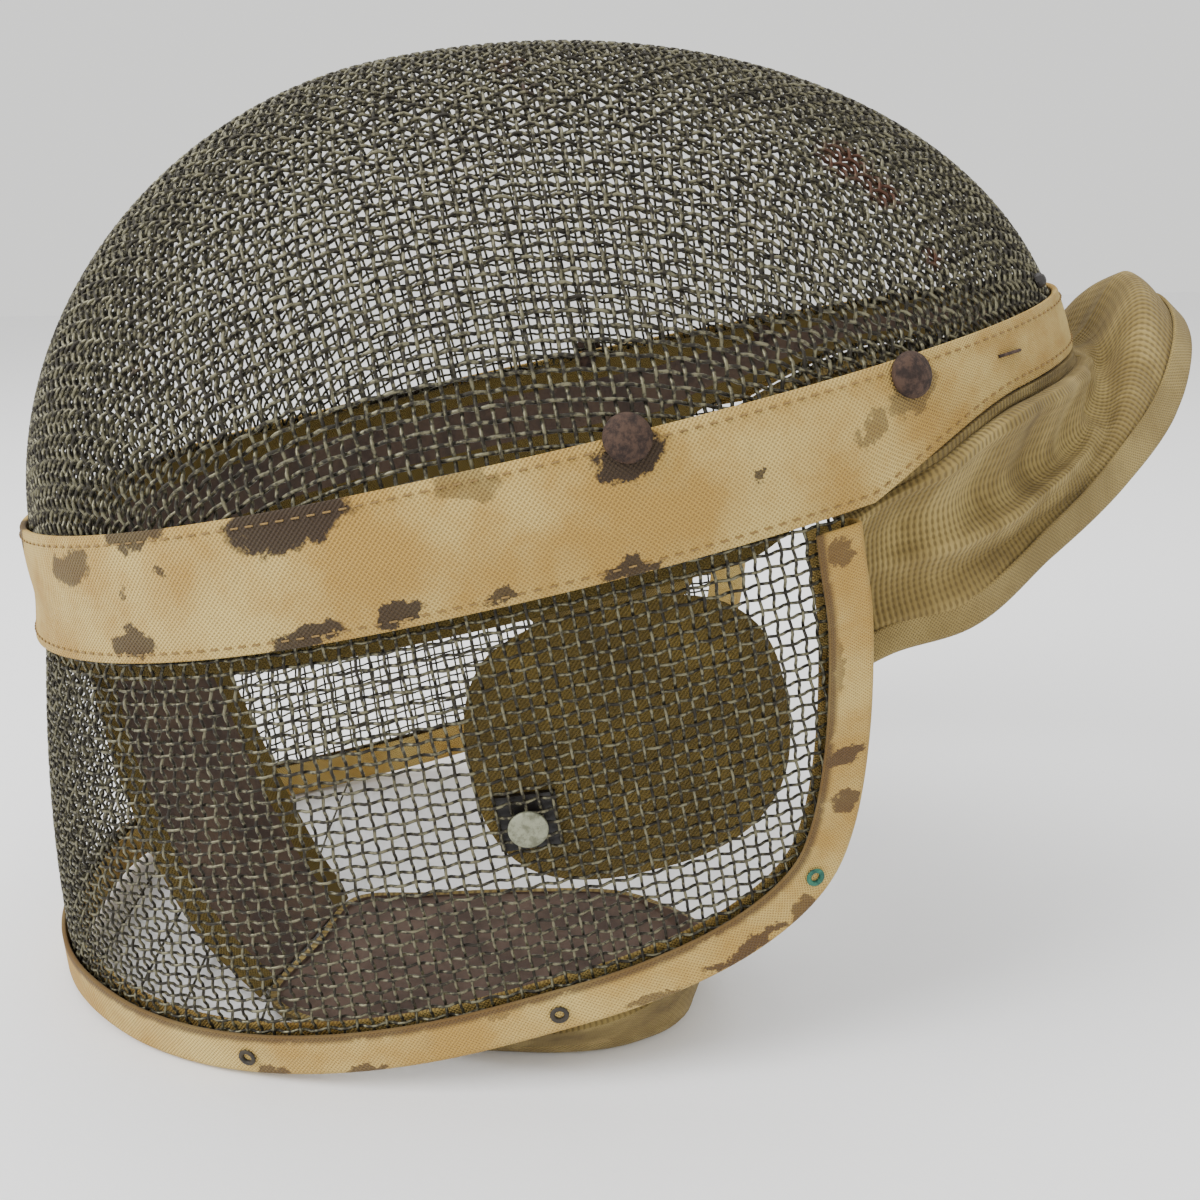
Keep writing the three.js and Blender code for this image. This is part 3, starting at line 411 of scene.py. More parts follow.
def sheet_of(name, columns, rows, shape, wall, finishes, flat, closed=False, offset=0.0):
    """A sheet of cloth or leather: a grid laid out by shape, UVs in millimetres, and a wall.

    shape takes two arrays of shares, along and across, and returns points in metres.
    """
    bm = bmesh.new()
    layer = bm.loops.layers.uv.new("UVMap")
    bmesh.ops.create_grid(bm, x_segments=columns, y_segments=rows, size=0.5, calc_uvs=True)
    along = np.array([vert.co.x for vert in bm.verts]) + 0.5
    across = np.array([vert.co.y for vert in bm.verts]) + 0.5
    for vert, point in zip(bm.verts, shape(along, across)):
        vert.co = point
    for face in bm.faces:
        for loop in face.loops:
            share = loop[layer].uv
            loop[layer].uv = (share.x * flat[0], share.y * flat[1])
    if closed:
        bmesh.ops.remove_doubles(bm, verts=bm.verts, dist=1e-6)
    mesh = bpy.data.meshes.new(name)
    bm.to_mesh(mesh)
    bm.free()
    smooth(mesh)
    made = new_object(name, mesh)
    for finish in finishes:
        mesh.materials.append(finish)
    solid = made.modifiers.new("wall", "SOLIDIFY")
    solid.thickness = wall * MM
    solid.offset = offset
    if len(finishes) > 1:
        solid.material_offset = 1
        solid.material_offset_rim = len(finishes) - 1
    bevel = made.modifiers.new("edges", "BEVEL")
    bevel.width = wall * MM * 0.3
    bevel.segments = 2
    bevel.limit_method = "ANGLE"
    bevel.angle_limit = math.radians(50)
    return made


def tubes(name, lines, diameter, sides, finish, cyclic=False):
    """Round wires or threads along lines of points in metres, as one mesh."""
    section = bpy.data.curves.new(name + "_section", "CURVE")
    ring = section.splines.new("POLY")
    ring.points.add(sides - 1)
    turn = np.arange(sides) / sides * 2 * math.pi
    radius = diameter / 2
    flat = np.stack([radius * np.cos(turn), radius * np.sin(turn), 0 * turn, 0 * turn + 1], axis=1)
    ring.points.foreach_set("co", flat.ravel())
    ring.use_cyclic_u = True
    profile = new_object(name + "_section", section)
    curve = bpy.data.curves.new(name + "_lines", "CURVE")
    curve.dimensions = "3D"
    curve.bevel_mode = "OBJECT"
    curve.bevel_object = profile
    curve.use_fill_caps = True
    for line in lines:
        spline = curve.splines.new("POLY")
        spline.points.add(len(line) - 1)
        four = np.concatenate([line, np.ones((len(line), 1))], axis=1)
        spline.points.foreach_set("co", four.ravel())
        spline.use_cyclic_u = cyclic
    path = new_object(name + "_lines", curve)
    bpy.context.view_layer.update()
    mesh = bpy.data.meshes.new_from_object(path.evaluated_get(bpy.context.evaluated_depsgraph_get()))
    mesh.name = name
    mesh.materials.clear()
    mesh.materials.append(finish)
    smooth(mesh)
    for used in (path, profile):
        bpy.data.objects.remove(used)
    return new_object(name, mesh)


def crown_reach():
    """How far the crown lies from the cage's centre, for each direction: a table by azimuth and elevation."""
    azimuth = np.linspace(0, math.pi, 241)[:, None]
    elevation = np.linspace(-0.2, math.pi / 2, 161)[None, :]
    x, y, z = (np.sin(azimuth) * np.cos(elevation), -np.cos(azimuth) * np.cos(elevation),
               np.sin(elevation) + 0 * azimuth)
    near, far = np.full(z.shape, 40.0), np.full(z.shape, 200.0)
    for _ in range(40):
        reach = (near + far) / 2
        rise = np.clip(z * reach / CROWN_HEIGHT, 0, 1 - 1e-12)
        side = HALF_WIDTH * (1 - rise ** SIDE_ARCH) ** (1 / SIDE_ARCH)
        front = FRONT_DEPTH * (1 - rise ** FRONT_ARCH) ** (1 / FRONT_ARCH)
        back = BACK_DEPTH * (1 - rise ** BACK_ARCH) ** (1 / BACK_ARCH)
        depth, power = np.where(y < 0, front, back), np.where(y < 0, FRONT_SQUARENESS, BACK_SQUARENESS)
        inside = (np.abs(x * reach) / side) ** power + (np.abs(y * reach) / depth) ** power < 1
        inside &= z * reach < CROWN_HEIGHT
        near, far = np.where(inside, reach, near), np.where(inside, far, reach)
    return (near + far) / 2


def crown_net(pitch, low):
    """Crossings of a square net laid over the crown from its top, by steps sideways and steps forward."""
    table = crown_reach()
    columns, rows = table.shape
    first, span = -0.2, math.pi / 2 + 0.2

    def lift(point):
        x, y, z = point
        u = math.atan2(x, -y) / math.pi * (columns - 1)
        v = (math.atan2(z, math.hypot(x, y)) - first) / span * (rows - 1)
        i, j = min(max(int(u), 0), columns - 2), min(max(int(v), 0), rows - 2)
        u, v = u - i, v - j
        reach = ((table[i, j] * (1 - u) + table[i + 1, j] * u) * (1 - v)
                 + (table[i, j + 1] * (1 - u) + table[i + 1, j + 1] * u) * v)
        return Vector(point).normalized() * reach

    def beside(a, b, guess):
        point = lift(guess)
        for _ in range(6):
            to_a, to_b = point - a, point - b
            miss_a, miss_b = to_a.length - pitch, to_b.length - pitch
            to_a.normalize()
            to_b.normalize()
            c = to_a.dot(to_b)
            spread = max(1 - c * c, 1e-3)
            pull_a = to_a * ((miss_a - c * miss_b) / spread)
            pull_b = to_b * ((miss_b - c * miss_a) / spread)
            point = lift(point - pull_a - pull_b)
        return point

    def onwards(last, step):
        point = lift(last + step)
        for _ in range(5):
            point = lift(last + (point - last).normalized() * pitch)
        return point

    net = {}
    for sign in (1, -1):
        net[0, 0] = Vector((0, 0, CROWN_HEIGHT))
        forward, sideways = Vector((0, -sign * pitch, 0)), Vector((pitch, 0, 0))
        j = 0
        while net[0, j].z > low:
            step = forward if j == 0 else net[0, j] - net[0, j - sign]
            net[0, j + sign] = onwards(net[0, j], step)
            j += sign
        i = 0
        while net[i, 0].z > low:
            step = sideways if i == 0 else net[i, 0] - net[i - 1, 0]
            net[i + 1, 0] = onwards(net[i, 0], step)
            i += 1
        for i in range(1, 200):
            if (i, 0) not in net:
                break
            j = sign
            while (i - 1, j) in net and (i, j - sign) in net and net[i, j - sign].z > low:
                a, b = net[i - 1, j], net[i, j - sign]
                net[i, j] = beside(a, b, a + b - net[i - 1, j - sign])
                j += sign
    return net


def woven(runs, amplitude):
    """Lines of points along wires that go over and under at each crossing.

    A run is the crossings on one wire, the normals there and the side on which it passes.
    """
    lines = []
    for points, normals, passing in runs:
        ahead, behind = np.roll(points, -1, axis=0), np.roll(points, 1, axis=0)
        ahead[-1], behind[0] = points[-1], points[0]
        lifted = points + normals * (passing * amplitude)[:, None]
        line = np.stack([lifted + (behind - points) * 0.25, lifted + (ahead - points) * 0.25], axis=1)
        lines.append(to_part(line.reshape(-1, 3)))
    return lines


def net_runs(net, normals, family, sign):
    """The crossings of a net in order along each wire of one family."""
    rows = {}
    for key in net:
        rows.setdefault(key[family], []).append(key)
    runs = []
    for keys in rows.values():
        keys.sort(key=lambda key: key[1 - family])
        if len(keys) < 3:
            continue
        points = np.array([net[key] for key in keys])
        passing = np.array([sign if (key[0] + key[1]) % 2 else -sign for key in keys], float)
        runs.append((points, np.array([normals[key] for key in keys]), passing))
    return runs


def whole_crown(pitch):
    """The crown's net on both sides, with the normal at each crossing."""
    half = {key: tuple(point) for key, point in crown_net(pitch, -5.0).items() if point.z > -4}
    net = dict(half)
    net.update({(-i, j): (-x, y, z) for (i, j), (x, y, z) in half.items()})
    keys = list(net)
    points = np.array([net[key] for key in keys])
    height = np.clip(points[:, 2], -CROWN_HEIGHT, CROWN_HEIGHT * (1 - 1e-4))
    rise = np.clip(height / CROWN_HEIGHT, 0, 1)
    side = HALF_WIDTH * (1 - rise ** SIDE_ARCH) ** (1 / SIDE_ARCH)
    front = FRONT_DEPTH * (1 - rise ** FRONT_ARCH) ** (1 / FRONT_ARCH)
    back = BACK_DEPTH * (1 - rise ** BACK_ARCH) ** (1 / BACK_ARCH)
    depth = np.where(points[:, 1] < 0, front, back)
    normals = cage_normal(np.arctan2(points[:, 0] / side, -points[:, 1] / depth), height)
    return net, dict(zip(keys, normals))


def face_net(pitch):
    """The face's net: wires round the cage under the band, and wires straight down from it."""
    fine = np.linspace(-REAR_EDGE_ANGLE, REAR_EDGE_ANGLE, 2001)
    path = cage_base(fine, -20.0)
    along = np.concatenate([[0], np.cumsum(np.linalg.norm(np.diff(path, axis=0), axis=1))])
    count = int(along[-1] / pitch / 2) * 2
    middle = along[-1] / 2
    angles = np.interp(middle + (np.arange(count + 1) - count / 2) * pitch, along, fine)
    heights = -9 - np.arange(int((FACE_DROP - 9) / pitch) + 1) * pitch
    rim = rim_line()
    lower = np.interp(angles, rim[::-1, 0], rim[::-1, 1])
    rear = rim[: len(rim) // 2]
    reach = np.interp(heights, rear[::-1, 1], rear[::-1, 0])
    net = {}
    for i, angle in enumerate(angles):
        for k, height in enumerate(heights):
            corner = abs(angle) > 0.9 * REAR_EDGE_ANGLE
            if (corner and abs(angle) <= reach[k]) or (not corner and height >= lower[i]):
                net[i, k] = (angle, height)
    keys = list(net)
    places = np.array([net[key] for key in keys])
    points = cage_base(places[:, 0], places[:, 1])
    normals = cage_normal(places[:, 0], places[:, 1])
    return dict(zip(keys, map(tuple, points))), dict(zip(keys, normals))


RGBA = {"data_type": "RGBA"}
SOFT = {"interpolation_type": "SMOOTHSTEP"}


def add(tree, kind, inputs=None, out=0, **settings):
    """Adds a node with its settings and its links or values, and gives one of its outputs."""
    made = tree.nodes.new(kind)
    for key, value in settings.items():
        setattr(made, key, value)
    for key, value in (inputs or {}).items():
        if isinstance(value, bpy.types.NodeSocket):
            tree.links.new(value, made.inputs[key])
        else:
            made.inputs[key].default_value = value
    return made.outputs[out]


def blank(name):
    """A new material with its node tree, its shader and the coordinates of the object and of the cloth."""
    made = bpy.data.materials.new(name)
    made.use_nodes = True
    tree = made.node_tree
    place = add(tree, "ShaderNodeTexCoord", out="Object")
    cloth = add(tree, "ShaderNodeTexCoord", out="UV")
    return made, tree, tree.nodes["Principled BSDF"], place, cloth


def weave_height(tree, cloth, pitch):
    """Plain weave: threads rise in turn like the squares of a chequer board."""
    waves = add(tree, "ShaderNodeVectorMath", {0: cloth, 1: (math.pi / pitch,) * 3}, operation="MULTIPLY")
    waves = add(tree, "ShaderNodeVectorMath", {0: waves}, operation="SINE")
    u = add(tree, "ShaderNodeSeparateXYZ", {0: waves}, "X")
    v = add(tree, "ShaderNodeSeparateXYZ", {0: waves}, "Y")
    both = add(tree, "ShaderNodeMath", {0: u, 1: v}, operation="MULTIPLY")
    return add(tree, "ShaderNodeMath", {0: both, 1: 0.5, 2: 0.5}, operation="MULTIPLY_ADD")


def twill_height(tree, cloth, pitch, turn):
    """Twill: slanting ribs, each broken by the threads that cross it."""
    waves = add(tree, "ShaderNodeMapping", {"Vector": cloth, "Rotation": (0, 0, turn),
                                            "Scale": (2 * math.pi / pitch,) * 3})
    waves = add(tree, "ShaderNodeVectorMath", {0: waves}, operation="SINE")
    rib = add(tree, "ShaderNodeSeparateXYZ", {0: waves}, "X")
    knot = add(tree, "ShaderNodeSeparateXYZ", {0: waves}, "Y")
    both = add(tree, "ShaderNodeMath", {0: knot, 1: 0.4, 2: rib}, operation="MULTIPLY_ADD")
    return add(tree, "ShaderNodeMath", {0: both, 1: 0.36, 2: 0.5}, operation="MULTIPLY_ADD")


def stain_mask(tree, cloth, stains):
    """Stains with torn, crisp edges: a row holds along, across, two half sizes, a turn and a depth."""
    coarse = add(tree, "ShaderNodeTexNoise",
                 {"Vector": cloth, "Scale": 0.16, "Detail": 8.0, "Roughness": 0.7}, "Color")
    shift = add(tree, "ShaderNodeVectorMath", {0: coarse, 1: (0.5, 0.5, 0.5)}, operation="SUBTRACT")
    moved = add(tree, "ShaderNodeVectorMath", {0: shift, 1: (13, 13, 13), 2: cloth}, operation="MULTIPLY_ADD")
    total = None
    for along, across, half_along, half_across, turn, depth in stains:
        near = add(tree, "ShaderNodeMapping", {"Vector": moved, "Location": (along, across, 0),
                                               "Rotation": (0, 0, turn),
                                               "Scale": (half_along, half_across, 1e3)},
                   vector_type="TEXTURE")
        far = add(tree, "ShaderNodeVectorMath", {0: near}, "Value", operation="LENGTH")
        spot = add(tree, "ShaderNodeMapRange", {0: far, 1: 1.12, 2: 0.9, 3: 0.0, 4: depth}, **SOFT)
        if total is None:
            total = spot
        else:
            total = add(tree, "ShaderNodeMath", {0: total, 1: spot}, operation="MAXIMUM")
    return total


def wire_finish(colours, name, rust_from, rust_to, spots=()):
    """Drawn steel wire, tarnished: dark olive grey with small painted glints, and rust in patches."""
    made, tree, shader, place, _ = blank(name)
    patch = add(tree, "ShaderNodeTexNoise", {"Vector": place, "Scale": 24, "Detail": 5.0, "Roughness": 0.6})
    patch = add(tree, "ShaderNodeMapRange", {0: patch, 1: rust_from, 2: rust_to}, **SOFT)
    fleck = add(tree, "ShaderNodeTexNoise", {"Vector": place, "Scale": 700, "Detail": 3.0})
    for point, reach in spots:
        away = add(tree, "ShaderNodeVectorMath", {0: place, 1: point}, "Value", operation="DISTANCE")
        ragged = add(tree, "ShaderNodeMath", {0: fleck, 1: reach, 2: away}, operation="MULTIPLY_ADD")
        spot = add(tree, "ShaderNodeMapRange", {0: ragged, 1: reach * 1.6, 2: reach * 0.9}, **SOFT)
        patch = add(tree, "ShaderNodeMath", {0: patch, 1: spot}, operation="MAXIMUM")
    # Painted glints: the small flecks take the glint colour, and a lower roughness.
    fleck = add(tree, "ShaderNodeMapRange", {0: fleck, 1: 0.42, 2: 0.62}, **SOFT)
    base = add(tree, "ShaderNodeMix",
               {0: fleck, 6: tuple(colours.wire), 7: tuple(colours.wire_glint)}, 2, **RGBA)
    base = add(tree, "ShaderNodeMix", {0: patch, 6: base, 7: tuple(colours.wire_rust)}, 2, **RGBA)
    tree.links.new(base, shader.inputs["Base Color"])
    shader.inputs["Metallic"].default_value = 0.5
    rough = add(tree, "ShaderNodeMapRange", {0: fleck, 1: 0, 2: 1, 3: 0.62, 4: 0.36})
    tree.links.new(rough, shader.inputs["Roughness"])
    return made


def woven_cotton(name, pale, base, gap, stains, stain, pitch, bump, dirt=None, grey=0.25):
    """Plain-weave cotton: dull, with round thread crowns, painted shade in the gaps, grime in patches and
    torn-edged stains.

    dirt is for a cloth that grows dirty towards one edge: where the dirt starts, where it is full, its depth.
    """
    made, tree, shader, _, cloth = blank(name)
    threads = weave_height(tree, cloth, pitch)
    cloud = add(tree, "ShaderNodeTexNoise",
                {"Vector": cloth, "Scale": 0.035, "Detail": 6.0, "Roughness": 0.6})
    cloud = add(tree, "ShaderNodeMapRange", {0: cloud, 1: 0.38, 2: 0.66}, **SOFT)
    shade = add(tree, "ShaderNodeMix", {0: cloud, 6: base, 7: pale}, 2, **RGBA)
    grime = add(tree, "ShaderNodeTexNoise", {"Vector": cloth, "Scale": 0.14, "Detail": 9.0, "Roughness": 0.7})
    grime = add(tree, "ShaderNodeMapRange", {0: grime, 1: 0.52, 2: 0.74, 3: 0, 4: grey}, **SOFT)
    shade = add(tree, "ShaderNodeMix", {0: grime, 6: shade, 7: gap}, 2, **RGBA)
    # Painted shade: the gaps between the threads darken towards the gap colour.
    low = add(tree, "ShaderNodeMapRange", {0: threads, 1: 0.05, 2: 0.6, 3: 0.62, 4: 0.0}, **SOFT)
    shade = add(tree, "ShaderNodeMix", {0: low, 6: shade, 7: gap}, 2, **RGBA)
    mask = stain_mask(tree, cloth, stains)
    if dirt:
        across = add(tree, "ShaderNodeSeparateXYZ", {0: cloth}, "Y")
        ragged = add(tree, "ShaderNodeMath", {0: grime, 1: 6.0, 2: across}, operation="MULTIPLY_ADD")
        start, full, depth = dirt
        edge = add(tree, "ShaderNodeMapRange", {0: ragged, 1: start, 2: full, 3: 0.0, 4: depth}, **SOFT)
        mask = add(tree, "ShaderNodeMath", {0: mask, 1: edge}, operation="MAXIMUM")
    shade = add(tree, "ShaderNodeMix", {0: mask, 6: shade, 7: stain}, 2, **RGBA)
    tree.links.new(shade, shader.inputs["Base Color"])
    shader.inputs["Roughness"].default_value = 0.92
    shader.inputs["Sheen Weight"].default_value = 0.03
    normal = add(tree, "ShaderNodeBump", {"Height": threads, "Distance": bump * MM})
    tree.links.new(normal, shader.inputs["Normal"])
    return made


def twill_finish(name, pale, base, dark, pitch, turn, bump):
    """Cotton twill: dull, with fine broken ribs and painted shade between them, faded on crests, brown with
    grime in patches.
    """
    made, tree, shader, _, cloth = blank(name)
    ribs = twill_height(tree, cloth, pitch, turn)
    cloud = add(tree, "ShaderNodeTexNoise", {"Vector": cloth, "Scale": 0.05, "Detail": 6.0, "Roughness": 0.6})
    faded = add(tree, "ShaderNodeMapRange", {0: cloud, 1: 0.46, 2: 0.66}, **SOFT)
    grimy = add(tree, "ShaderNodeMapRange", {0: cloud, 1: 0.46, 2: 0.3, 3: 0, 4: 0.55}, **SOFT)
    shade = add(tree, "ShaderNodeMix", {0: faded, 6: base, 7: pale}, 2, **RGBA)
    shade = add(tree, "ShaderNodeMix", {0: grimy, 6: shade, 7: dark}, 2, **RGBA)
    # Painted shade: the twill darkens between its ribs towards the dark colour.
    low = add(tree, "ShaderNodeMapRange", {0: ribs, 1: 0.1, 2: 0.6, 3: 0.6, 4: 0.0}, **SOFT)
    shade = add(tree, "ShaderNodeMix", {0: low, 6: shade, 7: dark}, 2, **RGBA)
    tree.links.new(shade, shader.inputs["Base Color"])
    shader.inputs["Roughness"].default_value = 0.93
    shader.inputs["Sheen Weight"].default_value = 0.03
    normal = add(tree, "ShaderNodeBump", {"Height": ribs, "Distance": bump * MM})
    tree.links.new(normal, shader.inputs["Normal"])
    return made


def bordered_leather(colours, name, width, border, pitch):
    """Brown leather strip with a cloth tape sewn down each side: worn grain between olive borders."""
    made, tree, shader, _, cloth = blank(name)
    across = add(tree, "ShaderNodeSeparateXYZ", {0: cloth}, "Y")
    off = add(tree, "ShaderNodeMath", {0: across, 1: width / 2}, operation="SUBTRACT")
    side = add(tree, "ShaderNodeMath", {0: off}, operation="ABSOLUTE")
    inner = width / 2 - border
    tape = add(tree, "ShaderNodeMapRange", {0: side, 1: inner - 0.3, 2: inner}, **SOFT)
    worn = add(tree, "ShaderNodeTexNoise", {"Vector": cloth, "Scale": 0.08, "Detail": 7.0, "Roughness": 0.65})
    worn = add(tree, "ShaderNodeMapRange", {0: worn, 1: 0.38, 2: 0.66}, **SOFT)
    hide = add(tree, "ShaderNodeMix", {0: worn, 6: tuple(colours.leather), 7: linear("#33241b")}, 2, **RGBA)
    threads = weave_height(tree, cloth, pitch)
    # Painted shade: the tape borders darken between their threads.
    low = add(tree, "ShaderNodeMapRange", {0: threads, 1: 0, 2: 0.6, 3: 0.55, 4: 0}, **SOFT)
    border_cloth = add(tree, "ShaderNodeMix",
                       {0: low, 6: tuple(colours.olive), 7: linear("#372c12")}, 2, **RGBA)
    base = add(tree, "ShaderNodeMix", {0: tape, 6: hide, 7: border_cloth}, 2, **RGBA)
    tree.links.new(base, shader.inputs["Base Color"])
    rough = add(tree, "ShaderNodeMapRange", {0: tape, 1: 0, 2: 1, 3: 0.6, 4: 0.93})
    tree.links.new(rough, shader.inputs["Roughness"])
    grain = add(tree, "ShaderNodeTexNoise", {"Vector": cloth, "Scale": 1.6, "Detail": 5.0})
    height = add(tree, "ShaderNodeMix", {0: tape, 2: grain, 3: threads})
    normal = add(tree, "ShaderNodeBump", {"Height": height, "Distance": 0.3 * MM})
    tree.links.new(normal, shader.inputs["Normal"])
    return made


def plain_leather(name, base, dark, rough):
    """Dull leather: fine grain with darker, rubbed patches."""
    made, tree, shader, place, _ = blank(name)
    worn = add(tree, "ShaderNodeTexNoise", {"Vector": place, "Scale": 60, "Detail": 7.0, "Roughness": 0.65})
    worn = add(tree, "ShaderNodeMapRange", {0: worn, 1: 0.36, 2: 0.68}, **SOFT)
    tree.links.new(add(tree, "ShaderNodeMix", {0: worn, 6: base, 7: dark}, 2, **RGBA),
                   shader.inputs["Base Color"])
    shader.inputs["Roughness"].default_value = rough
    grain = add(tree, "ShaderNodeTexNoise", {"Vector": place, "Scale": 1400, "Detail": 4.0})
    normal = add(tree, "ShaderNodeBump", {"Height": grain, "Distance": 0.12 * MM})
    tree.links.new(normal, shader.inputs["Normal"])
    return made


def pitted_metal(name, base, second, metallic, rough, pit):
    """Corroded metal: rough, blotched in two tones and pitted."""
    made, tree, shader, place, _ = blank(name)
    blotch = add(tree, "ShaderNodeTexNoise", {"Vector": place, "Scale": 380, "Detail": 6.0, "Roughness": 0.7})
    blotch = add(tree, "ShaderNodeMapRange", {0: blotch, 1: 0.4, 2: 0.62}, **SOFT)
    tree.links.new(add(tree, "ShaderNodeMix", {0: blotch, 6: base, 7: second}, 2, **RGBA),
                   shader.inputs["Base Color"])
    shader.inputs["Metallic"].default_value = metallic
    dull = add(tree, "ShaderNodeMapRange", {0: blotch, 1: 0, 2: 1, 3: rough, 4: min(rough + 0.2, 1)})
    tree.links.new(dull, shader.inputs["Roughness"])
    pits = add(tree, "ShaderNodeTexNoise", {"Vector": place, "Scale": 800, "Detail": 6.0, "Roughness": 0.75})
    normal = add(tree, "ShaderNodeBump", {"Height": pits, "Distance": pit * MM})
    tree.links.new(normal, shader.inputs["Normal"])
    return made


def sewing_thread(name, base):
    """Waxed cotton thread: matt and a shade darker than the cloth that it holds."""
    made, tree, shader, place, _ = blank(name)
    fleck = add(tree, "ShaderNodeTexNoise", {"Vector": place, "Scale": 1500, "Detail": 2.0})
    tree.links.new(add(tree, "ShaderNodeMix", {0: fleck, 6: base, 7: linear("#4c3d20")}, 2, **RGBA),
                   shader.inputs["Base Color"])
    shader.inputs["Roughness"].default_value = 0.85
    return made


def turned_piece(name, profile, sides, finish, point, axis):
    """A turned piece: its profile of radius and height in millimetres spun round its axis, on its seat."""
    bm = bmesh.new()
    verts = [bm.verts.new((r * MM, 0, h * MM)) for r, h in profile]
    edges = [bm.edges.new(pair) for pair in zip(verts, verts[1:])]
    bmesh.ops.spin(bm, geom=verts + edges, cent=(0, 0, 0), axis=(0, 0, 1), angle=2 * math.pi, steps=sides,
                   use_merge=True, use_normal_flip=False, use_duplicate=False)
    bmesh.ops.remove_doubles(bm, verts=bm.verts, dist=1e-6)
    bmesh.ops.recalc_face_normals(bm, faces=bm.faces)
    turn = Vector((0, 0, 1)).rotation_difference(Vector(axis)).to_matrix().to_4x4()
    bmesh.ops.transform(bm, matrix=Matrix.Translation(Vector(point)) @ turn, verts=bm.verts)
    mesh = bpy.data.meshes.new(name)
    bm.to_mesh(mesh)
    bm.free()
    smooth(mesh)
    mesh.materials.append(finish)
    return new_object(name, mesh)


def seat(angle, height, outset, sign):
    """A place on the cage and its outward axis, in the part's frame."""
    mirror = np.array([sign, 1, 1])
    point = to_part(cage(angle, height, outset) * mirror)
    axis = tilted(cage_normal(angle, height) * mirror)
    return Vector(point), Vector(axis)


def grid_normals(points):
    """Outward normals of a grid of points, along its first two directions."""
    return unit(np.cross(np.gradient(points, axis=0), np.gradient(points, axis=1)))


def on_grid(points):
    """A shape for sheet_of from a grid of points in metres."""
    columns, rows = points.shape[0] - 1, points.shape[1] - 1

    def shape(along, across):
        return points[np.rint(along * columns).astype(int), np.rint(across * rows).astype(int)]

    return shape


def run_length(points):
    return float(np.linalg.norm(np.diff(points, axis=0), axis=1).sum())


class MASK_OT_studio(bpy.types.Operator):
    """Pale floor, soft window light and the camera at the photograph's angle"""
    bl_idname = "mask.studio"
    bl_label = "Studio"

    def execute(self, context):
        # White paper: even and matt, so that the mask stands in a soft shadow of its own
        paper, tree, shader, place, _ = blank("matt_white_paper")
        grain = add(tree, "ShaderNodeTexNoise", {"Vector": place, "Scale": 250, "Detail": 3.0})
        normal = add(tree, "ShaderNodeBump", {"Height": grain, "Distance": 0.1 * MM})
        tree.links.new(normal, shader.inputs["Normal"])
        shader.inputs["Base Color"].default_value = linear("#f6f6f7")
        shader.inputs["Roughness"].default_value = 0.8
        bm = bmesh.new()
        bmesh.ops.create_grid(bm, x_segments=1, y_segments=1, size=4)
        mesh = bpy.data.meshes.new("floor")
        bm.to_mesh(mesh)
        bm.free()
        mesh.materials.append(paper)
        new_object("floor", mesh)
        for name, at, target, size, power in (
            ("window", (0.55, -1.3, 1.25), (0, -0.02, 0.12), 1.1, 34),
            ("fill", (1.3, 0.9, 0.7), (0, 0, 0.12), 1.6, 5),
            ("top", (-0.2, 0.1, 1.7), (0, 0, 0.1), 1.4, 13),
        ):
            data = bpy.data.lights.new(name, "AREA")
            data.shape = "DISK"
            data.size = size
            data.energy = power
            lamp = new_object(name, data)
            lamp.location = at
            lamp.rotation_euler = (Vector(target) - Vector(at)).to_track_quat("-Z", "Y").to_euler()
        world = bpy.data.worlds.new("daylight")
        world.use_nodes = True
        world.node_tree.nodes["Background"].inputs[0].default_value = linear("#f6f6f4")
        world.node_tree.nodes["Background"].inputs[1].default_value = 1.25
        context.scene.world = world

        data = bpy.data.cameras.new("camera")
        data.lens = CAMERA_LENS
        data.sensor_width = CAMERA_SENSOR
        data.sensor_fit = "HORIZONTAL"
        data.clip_start = 0.01
        camera = new_object("camera", data)
        flat = Vector((-math.cos(CAMERA_YAW), math.sin(CAMERA_YAW), 0))
        side = Vector((math.sin(CAMERA_YAW), math.cos(CAMERA_YAW), 0))
        ahead = flat * math.cos(CAMERA_PITCH) - Vector((0, 0, 1)) * math.sin(CAMERA_PITCH)
        above = Vector((0, 0, 1)) * math.cos(CAMERA_PITCH) + flat * math.sin(CAMERA_PITCH)
        right = side * math.cos(CAMERA_ROLL) + above * math.sin(CAMERA_ROLL)
        up = above * math.cos(CAMERA_ROLL) - side * math.sin(CAMERA_ROLL)
        matrix = Matrix((right, up, -ahead)).transposed().to_4x4()
        matrix.translation = (Vector(CAMERA_AT) + Vector(CAGE_ORIGIN)) * MM
        camera.matrix_world = matrix
        context.scene.camera = camera
        return {"FINISHED"}


# Rust on the crown: angle, height over the band's middle and reach in millimetres
CROWN_RUST = ((2.410, 62.0, 8.0), (2.421, 54.0, 6.0), (2.417, 37.3, 3.0))


class MASK_OT_wire_cloth(bpy.types.Operator):
    """Woven wire over the crown and down the face"""
    bl_idname = "mask.wire_cloth"
    bl_label = "Wire cloth"

    def execute(self, context):
        sizes, colours = context.scene.mask_sizes, context.scene.mask_colours
        pitch = sizes.wire_pitch / MM
        spots = [(tuple(to_part(cage(turn, height))), reach * MM) for turn, height, reach in CROWN_RUST]
        crown = wire_finish(colours, "tarnished_steel_wire_crown", 0.66, 0.78, spots)
        face = wire_finish(colours, "tarnished_steel_wire_face", 0.7, 0.8)
        for label, net, diameter, finish, cad in (
            ("crown", whole_crown(pitch), sizes.crown_wire, crown, "crown_mesh"),
            ("face", face_net(pitch), sizes.face_wire, face, "face_mesh"),
        ):
            points, normals = net
            made = []
            for family, sign in ((0, 1), (1, -1)):
                lines = woven(net_runs(points, normals, family, sign), diameter / MM / 2)
                name = f"{label}_{'warp' if family == 0 else 'weft'}_wires"
                made.append(tubes(name, lines, diameter, 5, finish))
            ready(made[0], "wire", cad)
            ready(made[1], "wire", cad)
        return {"FINISHED"}


